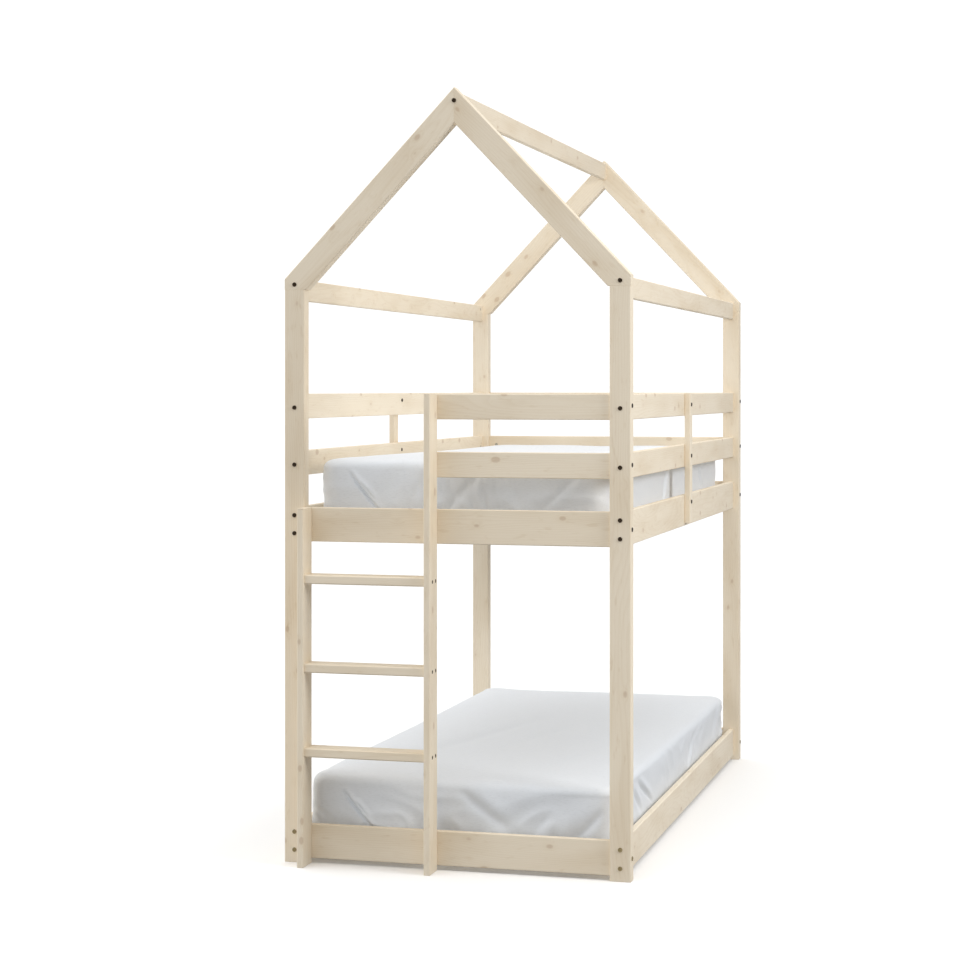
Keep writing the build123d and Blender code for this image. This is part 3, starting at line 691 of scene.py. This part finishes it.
def fixing_places(node):
    """Each fixing of a node: where its head's widest level is, its outward way and its length."""
    places = []
    for corners in islands(node):
        middle, size = middle_of(corners)
        number = longest_axis(size)
        spread = {}
        for corner in corners:
            level = round(corner[number] / LEVEL_STEP)
            away = corner - middle
            away[number] = 0.0
            spread[level] = max(spread.get(level, 0.0), away.length)
        widest = max(spread, key=lambda level: spread[level]) * LEVEL_STEP
        sign = 1.0 if widest > middle[number] else -1.0
        place = middle.copy()
        place[number] = widest
        far = middle[number] - sign * size[number] / 2
        places.append((place, along_axis(number, sign), abs(widest - far)))
    return places


def barrel_places():
    """Each barrel nut's middle, its axis and its length."""
    places = []
    for corners in islands("barrel_nuts"):
        middle, size = middle_of(corners)
        number = longest_axis(size)
        places.append((middle, along_axis(number, 1.0), size[number]))
    return places


def fixings_piece(node, shapes, materials, finish=None):
    """One piece that stands for a node of fixings. finish picks each shape's material by number."""
    name = f"{node}_round"
    mesh = joined_mesh(name, shapes)
    piece = mesh_object(name, mesh, materials[0])
    for material in materials[1:]:
        mesh.materials.append(material)
    number = 0
    for (_, faces), choice in zip(shapes, finish or [0] * len(shapes)):
        for _ in faces:
            mesh.polygons[number].material_index = choice
            number += 1
    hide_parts(node)
    return piece


# Mattresses


def on_rounded_outline(x, y, half_width, half_length, corner):
    """A point of a rectangle's outline moved onto the same outline with round corners."""
    beside, beyond = abs(x) - (half_width - corner), abs(y) - (half_length - corner)
    if beside <= 0 or beyond <= 0:
        return x, y
    if beside >= beyond:
        angle = math.pi / 4 * beyond / beside
    else:
        angle = math.pi / 2 - math.pi / 4 * beside / beyond
    reach = max(beside, beyond)
    round_x = half_width - corner + reach * math.cos(angle)
    round_y = half_length - corner + reach * math.sin(angle)
    return math.copysign(round_x, x), math.copysign(round_y, y)


def mattress_mesh(name, low, high, corner, cell):
    """A mattress: a gridded top and underside joined by its side, with round corners and edges."""
    half_width, half_length = (high.x - low.x) / 2, (high.y - low.y) / 2
    middle = (low + high) / 2
    across = round(2 * half_width / cell)
    along = round(2 * half_length / cell)
    shape = bmesh.new()

    def plate(level, inset):
        """A grid of points at one level, whose outer rows follow the round outline."""
        width, length = half_width - inset, half_length - inset
        rows = []
        for row in range(along + 1):
            v = 2 * row / along - 1
            line = []
            for column in range(across + 1):
                u = 2 * column / across - 1
                ring = max(abs(u), abs(v))
                ring_corner = (corner - inset * 0.5) * ring ** 3
                x, y = on_rounded_outline(u * width, v * length, width * ring, length * ring, ring_corner)
                line.append(shape.verts.new((middle.x + x, middle.y + y, level)))
            rows.append(line)
        for near, far in zip(rows, rows[1:]):
            for column in range(across):
                shape.faces.new((near[column], near[column + 1], far[column + 1], far[column]))
        edge = rows[0][:-1] + [line[-1] for line in rows[:-1]]
        edge += list(reversed(rows[-1]))[:-1] + [line[0] for line in reversed(rows[1:])]
        return edge

    top_edge, foot_edge = TOP_EDGE_RADIUS, FOOT_EDGE_RADIUS
    rings = [plate(high.z, top_edge)]
    outline = [(vertex.co.x - middle.x, vertex.co.y - middle.y) for vertex in rings[0]]
    levels = []
    for step in range(1, EDGE_STEPS + 1):
        angle = math.pi / 2 * step / EDGE_STEPS
        levels.append((high.z - top_edge * (1 - math.cos(angle)), top_edge * (1 - math.sin(angle))))
    upright = high.z - low.z - top_edge - foot_edge
    straight = max(2, round(upright / cell))
    for step in range(1, straight):
        levels.append((high.z - top_edge - upright * (step / straight), 0.0))
    for step in range(EDGE_STEPS):
        angle = math.pi / 2 * step / EDGE_STEPS
        levels.append((low.z + foot_edge * (1 - math.sin(angle)), foot_edge * (1 - math.cos(angle))))
    for level, inset in levels:
        scale_x = (half_width - inset) / (half_width - top_edge)
        scale_y = (half_length - inset) / (half_length - top_edge)
        rings.append([
            shape.verts.new((middle.x + x * scale_x, middle.y + y * scale_y, level)) for x, y in outline
        ])
    rings.append(plate(low.z, foot_edge))
    count = len(outline)
    for upper, lower in zip(rings, rings[1:]):
        for number in range(count):
            after = (number + 1) % count
            shape.faces.new((upper[number], upper[after], lower[after], lower[number]))
    bmesh.ops.recalc_face_normals(shape, faces=shape.faces)
    for face in shape.faces:
        face.smooth = True
    mesh = bpy.data.meshes.new(name)
    shape.to_mesh(mesh)
    shape.free()
    return mesh


def inflate(piece, bedding, low, high):
    """Fill the sheet with the mattress: cloth under pressure, held at its foot, with capped swell."""
    held = piece.vertex_groups.new(name="held")
    foot = [v.index for v in piece.data.vertices if v.co.z < low.z + FOOT_EDGE_RADIUS * 0.6]
    held.add(foot, 1.0, "REPLACE")
    cloth = piece.modifiers.new("cloth", "CLOTH")
    sheet = cloth.settings
    sheet.quality = 5
    sheet.mass = 0.25
    sheet.tension_stiffness = 12.0
    sheet.compression_stiffness = 12.0
    sheet.shear_stiffness = 6.0
    sheet.bending_stiffness = 0.6
    sheet.vertex_group_mass = "held"
    sheet.use_pressure = True
    sheet.uniform_pressure_force = bedding.pressure
    sheet.shrink_min = -0.012
    sheet.effector_weights.gravity = 0.0
    scene = bpy.context.scene
    for number in range(1, CLOTH_FRAMES + 1):
        scene.frame_set(number)
    evaluated = piece.evaluated_get(bpy.context.evaluated_depsgraph_get())
    moved = [vertex.co.copy() for vertex in evaluated.data.vertices]
    piece.modifiers.remove(cloth)
    scene.frame_set(1)
    for vertex, target in zip(piece.data.vertices, moved):
        step = target - vertex.co
        if step.length > bedding.cap:
            step = step.normalized() * bedding.cap
        vertex.co += step


def pinched_fold(point, normal, start, end, width, depth):
    """How far a fold lifts a point: a valley along its line, with a ridge of spare cloth beside it."""
    run = end - start
    share = (point - start).dot(run) / run.length_squared
    away = point - start - run * max(0.0, min(1.0, share))
    if away.length > PINCH_REACH * width:
        return 0.0
    along = max(0.0, min(1.0, (share + END_OVERRUN) / (1 + 2 * END_OVERRUN)))
    fade = math.sin(math.pi * along)
    beside = away.dot(normal.cross(run).normalized())
    valley = math.exp(-((beside / width) ** 2))
    ridge = math.exp(-(((beside - RIDGE_PLACE * width) / (RIDGE_WIDTH * width)) ** 2))
    return depth * fade * (RIDGE_HEIGHT * ridge - valley)


def side_share(point, low, high):
    """1 on a mattress's upright side and 0 on its top and underside, eased between."""
    below_top = (high.z - point.z) / TOP_EDGE_RADIUS
    above_foot = (point.z - low.z) / FOOT_EDGE_RADIUS
    return max(0.0, min(1.0, below_top)) * max(0.0, min(1.0, above_foot))


def hanging_folds(point, low, end_share, seed):
    """Folds on a side: long ones that lean away from its middle, and pleats at its foot."""
    lean_x, lean_y = math.tanh(point.x / LEAN_REACH[0]), math.tanh(point.y / LEAN_REACH[1])
    slope = Vector((point.x - point.z * lean_x, point.y - point.z * lean_y, 0.3 * point.z))
    broad = noise.noise(slope * BROAD_FOLDS_IN_A_METRE + seed)
    sharp = 0.3 - abs(noise.noise(slope * SHARP_FOLDS_IN_A_METRE - seed))
    patches = noise.noise(point * FOLD_PATCHES_IN_A_METRE - seed)
    patchy = max(0.0, min(1.0, 0.5 + 2.2 * patches))
    # The elastic gathers the cloth most near the foot
    pleats = noise.noise(point * PLEATS_IN_A_METRE + seed) * PLEAT_DEPTH
    pleats *= math.exp(-(point.z - low.z) / PLEAT_HEIGHT)
    # It drags hardest at the corners, so the folds fade along the long sides
    drag = 0.3 + 0.7 * end_share ** 5
    return (broad * BROAD_FOLD_DEPTH + sharp * patchy * SHARP_FOLD_DEPTH) * drag + pleats


def subdivide(piece):
    """Apply one subdivision, so that folds narrower than the cloth's cells can follow."""
    piece.modifiers.new("smooth", "SUBSURF").levels = 1
    evaluated = piece.evaluated_get(bpy.context.evaluated_depsgraph_get())
    smooth_mesh = bpy.data.meshes.new_from_object(evaluated)
    piece.modifiers.clear()
    piece.data = smooth_mesh


def refine_near_folds(piece, folds):
    """Split the cloth's faces along the pinched folds, so that their valleys come out crisp."""
    shape = bmesh.new()
    shape.from_mesh(piece.data)
    near = []
    for edge in shape.edges:
        middle = (edge.verts[0].co + edge.verts[1].co) / 2
        for start, end, width, _ in folds:
            run = end - start
            share = max(0.0, min(1.0, (middle - start).dot(run) / run.length_squared))
            away = middle - start - run * share
            if width < NARROW_FOLD and away.length < 3 * NARROW_FOLD:
                near.append(edge)
                break
    bmesh.ops.subdivide_edges(shape, edges=near, cuts=2, use_grid_fill=True)
    shape.to_mesh(piece.data)
    shape.free()


def fold_sheet(piece, bed, low, high):
    """Give the sheet its crown, its hanging and pinched folds and the hem under the mattress."""
    middle = (low + high) / 2
    half_width, half_length = (high.x - low.x) / 2, (high.y - low.y) / 2
    folds = [
        (Vector(start), Vector(end), width, depth) for start, end, width, depth in PINCHED_FOLDS[bed]
    ]
    refine_near_folds(piece, folds)
    normals = [vertex.normal.copy() for vertex in piece.data.vertices]
    seed = FOLD_SEEDS[bed]
    for vertex, normal in zip(piece.data.vertices, normals):
        point = vertex.co.copy()
        side = side_share(point, low, high)
        u = min(1.0, abs(point.x - middle.x) / half_width)
        v = min(1.0, abs(point.y - middle.y) / half_length)
        lift = side * (hanging_folds(point, low, v, seed) * FOLD_SHARE[bed] - FOLD_ROOM)
        for start, end, width, depth in folds:
            lift += pinched_fold(point, normal, start, end, width, depth)
        moved = point + normal * lift
        if normal.z > FACES_UP:
            # The top is crowned, with long shallow drags that lie nearly along the bed
            across = Vector((point.x * 6.0 - point.y * 1.4, point.y * 0.9, 0.0)) + seed
            crown = CROWN * (1 - u ** 5) * (1 - v ** 9)
            moved.z += normal.z * (crown + noise.noise(across) * TOP_DRAG_DEPTH)
        elif normal.z < FACES_DOWN:
            inset = min((1 - u) * half_width, (1 - v) * half_length)
            moved.z -= HEM_RISE * math.exp(-(((inset - HEM_INSET) / HEM_WIDTH) ** 2))
        height_share = max(0.0, (point.z - low.z) / (high.z - low.z))
        moved.z -= FAR_END_DROP * height_share * (point.y - low.y) / (high.y - low.y)
        moved.x = max(low.x - SIDE_ROOM, min(high.x + SIDE_ROOM, moved.x))
        moved.y = max(low.y - SIDE_ROOM, min(high.y + SIDE_ROOM, moved.y))
        vertex.co = moved
    piece.data.update()


def show_ticking(piece, low, high):
    """Give the underside inside the hem the second material, the mattress's own ticking."""
    for face in piece.data.polygons:
        inset = min(
            face.center.x - low.x, high.x - face.center.x, face.center.y - low.y, high.y - face.center.y
        )
        if face.normal.z < FACES_DOWN and inset > HEM_INSET:
            face.material_index = 1


# Operators


class BUNKBED_OT_stage(bpy.types.Operator):
    """Set up the paper floor, the soft lights and the camera"""

    bl_idname = "bunkbed.stage"
    bl_label = "Stage"

    def execute(self, context):
        studio = context.scene.bunk_bed_studio
        floor_mesh = bpy.data.meshes.new("paper_floor")
        signs = ((-1, -1), (1, -1), (1, 1), (-1, 1))
        corners = [(FLOOR_REACH * x, FLOOR_REACH * y, 0.0) for x, y in signs]
        floor_mesh.from_pydata(corners, [], [(0, 1, 2, 3)])
        floor = bpy.data.objects.new("paper_floor", floor_mesh)
        floor.location.z = -FLOOR_DROP
        context.scene.collection.objects.link(floor)
        floor.data.materials.append(paper_floor("white_studio_paper", studio.floor_colour))
        # The paper throws no light back up, so the boards' undersides stay dark, as in the photo
        floor.visible_diffuse = False
        self.light(context, studio.key_power)
        self.room(context, studio)
        context.scene.view_settings.view_transform = "Standard"
        self.camera(context)
        return {"FINISHED"}

    def room(self, context, studio):
        """A white room round the bed: each wall has its own strength and fades into the next."""
        room = bpy.data.worlds.new("white_room")
        room.use_nodes = True
        tree = room.node_tree
        tree.nodes.clear()
        way = add(tree, "ShaderNodeTexCoord").outputs["Generated"]
        axes = add(tree, "ShaderNodeSeparateXYZ", {0: way}).outputs
        walls = (
            ("X", -1.0, studio.left_wall), ("X", 1.0, studio.right_wall), ("Y", -1.0, studio.front_wall),
            ("Y", 1.0, studio.back_wall), ("Z", 1.0, studio.ceiling),
        )
        strength = 0.0
        for axis, sign, brightness in walls:
            facing = add(tree, "ShaderNodeMath", {0: axes[axis], 1: sign}, operation="MULTIPLY")
            towards = add(tree, "ShaderNodeMath", {0: facing, 1: 0.0}, operation="MAXIMUM")
            lobe = add(tree, "ShaderNodeMath", {0: towards, 1: towards}, operation="MULTIPLY")
            strength = add(
                tree, "ShaderNodeMath", {0: lobe, 1: brightness, 2: strength}, operation="MULTIPLY_ADD"
            )
        # The camera sees plain white, as in the photo, whichever wall is behind the bed
        seen = add(tree, "ShaderNodeLightPath").outputs["Is Camera Ray"]
        white = add(tree, "ShaderNodeMath", {0: seen, 1: SEEN_WHITE}, operation="MULTIPLY")
        strength = add(tree, "ShaderNodeMath", {0: strength, 1: white}, operation="MAXIMUM")
        light = add(tree, "ShaderNodeBackground", {"Color": (1.0, 1.0, 1.0, 1.0), "Strength": strength})
        add(tree, "ShaderNodeOutputWorld", {"Surface": light})
        context.scene.world = room

    def light(self, context, power):
        """The key light: large, soft and facing the bed from the right."""
        data = bpy.data.lights.new("key", "AREA")
        data.shape = "DISK"
        data.size = KEY_SIZE
        data.energy = power
        lamp = bpy.data.objects.new("key", data)
        lamp.location = KEY_PLACE
        lamp.rotation_euler = (Vector(KEY_PLACE) - Vector(KEY_AIM)).to_track_quat("Z", "Y").to_euler()
        context.scene.collection.objects.link(lamp)

    def camera(self, context):
        """The photograph's camera, level and turned a little to the left."""
        data = bpy.data.cameras.new("camera")
        data.sensor_width = SENSOR_WIDTH
        data.lens = FOCAL_PIXELS / IMAGE_SIDE * SENSOR_WIDTH
        data.shift_x = (IMAGE_SIDE / 2 - PRINCIPAL_POINT[0]) / IMAGE_SIDE
        data.shift_y = (PRINCIPAL_POINT[1] - IMAGE_SIDE / 2) / IMAGE_SIDE
        data.dof.use_dof = False
        camera = bpy.data.objects.new("camera", data)
        camera.location = CAMERA_PLACE
        camera.rotation_euler = (math.pi / 2, 0.0, CAMERA_TURN)
        context.scene.collection.objects.link(camera)
        context.scene.camera = camera


class BUNKBED_OT_boards(bpy.types.Operator):
    """Give every board and post its sanded pine, with the grain along its length"""

    bl_idname = "bunkbed.boards"
    bl_label = "Boards and posts"

    def execute(self, context):
        wood = context.scene.bunk_bed_wood
        for grain, nodes in GRAIN_OF_NODES.items():
            material = sanded_pine(f"sanded_pine_{grain}", grain, wood)
            for node in nodes:
                finish_board(NODES[node], material)
        slat_pine = sanded_pine("planed_pine_slats", "across", wood, darker=0.1)
        for node in SLAT_NODES:
            finish_board(NODES[node], slat_pine)
        return {"FINISHED"}


def finish_board(board, material):
    """Set a board's material and ease the look of its edges."""
    board.data.materials.clear()
    board.data.materials.append(material)
    weld = board.modifiers.new("weld", "WELD")
    weld.merge_threshold = WELD_DISTANCE
    ease = board.modifiers.new("ease", "BEVEL")
    ease.limit_method = "ANGLE"
    ease.angle_limit = EASED_ANGLE
    ease.width = EDGE_EASE
    ease.segments = 2
    ease.harden_normals = True


class BUNKBED_OT_dowels(bpy.types.Operator):
    """Give the dowels hidden in the joints their beech"""

    bl_idname = "bunkbed.dowels"
    bl_label = "Dowels"

    def execute(self, context):
        # They can't be seen, so their beech is made as a darker pine
        material = sanded_pine("fluted_beech", "upright", context.scene.bunk_bed_wood, darker=0.5)
        dowels = NODES["dowels"].data
        dowels.materials.clear()
        dowels.materials.append(material)
        return {"FINISHED"}


class BUNKBED_OT_bolts(bpy.types.Operator):
    """Make the round bolt heads with hexagon sockets"""

    bl_idname = "bunkbed.bolts"
    bl_label = "Bolts"

    def execute(self, context):
        fixings = context.scene.bunk_bed_fixings
        black = metal("black_nickel_steel", "#3C3228", 0.28, 0.45, 0.9 * MM)
        # The second, lighter copy has the floor's reflection painted into its colour, for the heads low
        # down
        bright = metal("steel_with_painted_floor_reflection", "#85785A", 0.34, 0.55, 0.9 * MM)
        rise, shank, ease = 2.5 * MM, 3.0 * MM, 0.9 * MM
        radius = fixings.head_radius
        recess = hexagon(FIXING_SIDES, fixings.socket_radius)
        for node in ("short_bolts", "long_bolts", "brace_bolts"):
            shapes, finish = [], []
            for head, axis, length in fixing_places(node):
                profile = [
                    (shank, -length), (shank, 0.0), (radius, 0.0), (radius, rise - ease),
                    (radius - ease * 0.3, rise - ease * 0.3), (radius - ease, rise),
                ]
                shapes.append(recessed_fixing(head, axis, profile, recess, fixings.socket_depth))
                # Heads low down get the copy with the painted reflection
                finish.append(1 if head.z < LOW_BOLT_HEIGHT else 0)
            fixings_piece(node, shapes, [black, bright], finish)
        return {"FINISHED"}


class BUNKBED_OT_nuts(bpy.types.Operator):
    """Make the round barrel nuts and the sleeve nuts behind the braces"""

    bl_idname = "bunkbed.nuts"
    bl_label = "Nuts"

    def execute(self, context):
        fixings = context.scene.bunk_bed_fixings
        zinc = metal("zinc_plated_steel", "#B4B0A6", 0.3, 0.5, 0.7 * MM)
        black = metal("black_nickel_nut", "#4A3F33", 0.28, 0.45, 0.9 * MM)
        radius, ease = 5.85 * MM, 0.5 * MM
        cut = slot(FIXING_SIDES, 4.2 * MM, 0.7 * MM)
        shapes = []
        for middle, axis, length in barrel_places():
            for way in (axis, -axis):
                profile = [
                    (radius - ease, 0.0), (radius, 0.0), (radius, length / 2 - ease),
                    (radius - ease, length / 2),
                ]
                shapes.append(recessed_fixing(middle, way, profile, cut, 1.2 * MM))
        fixings_piece("barrel_nuts", shapes, [zinc])
        shapes = []
        recess = hexagon(FIXING_SIDES, fixings.socket_radius)
        sleeve, flange, rise = 4.0 * MM, 5.5 * MM, 1.5 * MM
        for head, axis, length in fixing_places("brace_nuts"):
            profile = [
                (sleeve, -length), (sleeve, 0.0), (flange, 0.0), (flange, rise - ease),
                (flange - ease, rise),
            ]
            shapes.append(recessed_fixing(head, axis, profile, recess, fixings.socket_depth))
        fixings_piece("brace_nuts", shapes, [black])
        return {"FINISHED"}


class BUNKBED_OT_screws(bpy.types.Operator):
    """Make the countersunk screws of the rungs, the ladder and the ledgers"""

    bl_idname = "bunkbed.screws"
    bl_label = "Screws"

    def execute(self, context):
        fixings = context.scene.bunk_bed_fixings
        zinc = metal("dulled_zinc_screw", "#5E5340", 0.4, 0.62, 0.7 * MM)
        recess = hexagon(FIXING_SIDES, fixings.socket_radius)
        head, cone, shank, rim, rise = 5.2 * MM, 3.0 * MM, 2.5 * MM, 0.4 * MM, 0.3 * MM
        for node in ("rung_screws", "ladder_screws", "ledger_screws"):
            shapes = []
            for face, axis, length in fixing_places(node):
                profile = [
                    (shank, -length), (shank, -cone), (head, -rim), (head, 0.05 * MM), (head - rise, rise),
                ]
                shapes.append(recessed_fixing(face, axis, profile, recess, fixings.socket_depth))
            fixings_piece(node, shapes, [zinc])
        return {"FINISHED"}


class BUNKBED_OT_mattresses(bpy.types.Operator):
    """Make both mattresses in their fitted sheets"""

    bl_idname = "bunkbed.mattresses"
    bl_label = "Mattresses"

    def execute(self, context):
        bedding = context.scene.bunk_bed_bedding
        cotton = cotton_percale("cotton_percale_sheet", bedding.sheet_colour)
        ticking = cotton_percale("knitted_ticking", bedding.ticking_colour)
        for bed in BEDS:
            node = f"{bed}_mattress"
            low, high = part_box(node)
            high = high - Vector((0.0, 0.0, TOP_DROP[bed]))
            mesh = mattress_mesh(f"{node}_in_sheet", low, high, CORNER_RADIUS[bed], bedding.cell)
            piece = mesh_object(f"{node}_in_sheet", mesh, cotton, f"{bed}_mattress_body")
            inflate(piece, bedding, low, high)
            subdivide(piece)
            fold_sheet(piece, bed, low, high)
            piece.data.materials.append(ticking)
            show_ticking(piece, low, high)
            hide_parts(node)
        return {"FINISHED"}


class BUNKBED_OT_tapes(bpy.types.Operator):
    """Make the webbing tapes that join the slats from below"""

    bl_idname = "bunkbed.tapes"
    bl_label = "Slat tapes"

    def execute(self, context):
        webbing = woven_tape("polyester_webbing")
        for bed in BEDS:
            node = f"{bed}_slat_tapes"
            slat_boxes = sorted(
                (middle_of(corners) for corners in islands(f"{bed}_slats")), key=lambda found: found[0].y
            )
            shapes = [self.tape(middle_of(corners), slat_boxes) for corners in islands(node)]
            piece = mesh_object(f"{node}_woven", joined_mesh(f"{node}_woven", shapes), webbing)
            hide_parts(node)
        return {"FINISHED"}

    def tape(self, tape_box, slat_boxes):
        """One tape, tight under each slat and slack between two."""
        middle, size = tape_box
        top = middle.z + size.z / 2
        stations = []
        for number, (slat_middle, slat_size) in enumerate(slat_boxes):
            for share in (-0.5, 0.5):
                stations.append((slat_middle.y + share * slat_size.y, 0.0))
            if number + 1 < len(slat_boxes):
                start = slat_middle.y + slat_size.y / 2
                end = slat_boxes[number + 1][0].y - slat_size.y / 2
                for share in (0.3, 0.5, 0.7):
                    sag = TAPE_SLACK * (1 - (2 * share - 1) ** 2)
                    stations.append((start + (end - start) * share, sag))
        points, faces = [], []
        half = size.x / 2
        for y, sag in stations:
            for x, z in ((-half, 0.0), (half, 0.0), (half, -size.z), (-half, -size.z)):
                points.append(Vector((middle.x + x, y, top - sag + z)))
        for number in range(len(stations) - 1):
            faces += band(4 * number, 4 * number + 4, 4)
        faces.append((3, 2, 1, 0))
        faces.append(tuple(len(points) - 4 + side for side in range(4)))
        return points, faces


class BUNKBED_PT_panel(bpy.types.Panel):
    """The bunk bed's steps and settings, in the sidebar"""

    bl_idname = "BUNKBED_PT_panel"
    bl_label = "House bunk bed"
    bl_space_type = "VIEW_3D"
    bl_region_type = "UI"
    bl_category = "Bunk Bed"

    def draw(self, context):
        for step in STEPS:
            self.layout.operator(step.bl_idname)
        for settings in SETTINGS:
            group = getattr(context.scene, settings)
            for name in group.bl_rna.properties.keys():
                if name not in ("rna_type", "name"):
                    self.layout.prop(group, name)


STEPS = (
    BUNKBED_OT_stage,
    BUNKBED_OT_boards,
    BUNKBED_OT_dowels,
    BUNKBED_OT_bolts,
    BUNKBED_OT_nuts,
    BUNKBED_OT_screws,
    BUNKBED_OT_tapes,
    BUNKBED_OT_mattresses,
)
SETTINGS = {
    "bunk_bed_wood": BunkBedWood,
    "bunk_bed_fixings": BunkBedFixings,
    "bunk_bed_bedding": BunkBedBedding,
    "bunk_bed_studio": BunkBedStudio,
}


def register():
    """Register every class and hang the settings on the scene."""
    for cls in (*SETTINGS.values(), *STEPS, BUNKBED_PT_panel):
        bpy.utils.register_class(cls)
    for name, cls in SETTINGS.items():
        setattr(bpy.types.Scene, name, bpy.props.PointerProperty(type=cls))


def unregister():
    """Take the settings and classes away again."""
    for name in SETTINGS:
        delattr(bpy.types.Scene, name)
    for cls in reversed((*SETTINGS.values(), *STEPS, BUNKBED_PT_panel)):
        bpy.utils.unregister_class(cls)


def main():
    """Register the add-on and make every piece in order."""
    register()
    bpy.ops.bunkbed.stage()
    bpy.ops.bunkbed.boards()
    bpy.ops.bunkbed.dowels()
    bpy.ops.bunkbed.bolts()
    bpy.ops.bunkbed.nuts()
    bpy.ops.bunkbed.screws()
    bpy.ops.bunkbed.tapes()
    bpy.ops.bunkbed.mattresses()


if __name__ == "__main__":
    main()
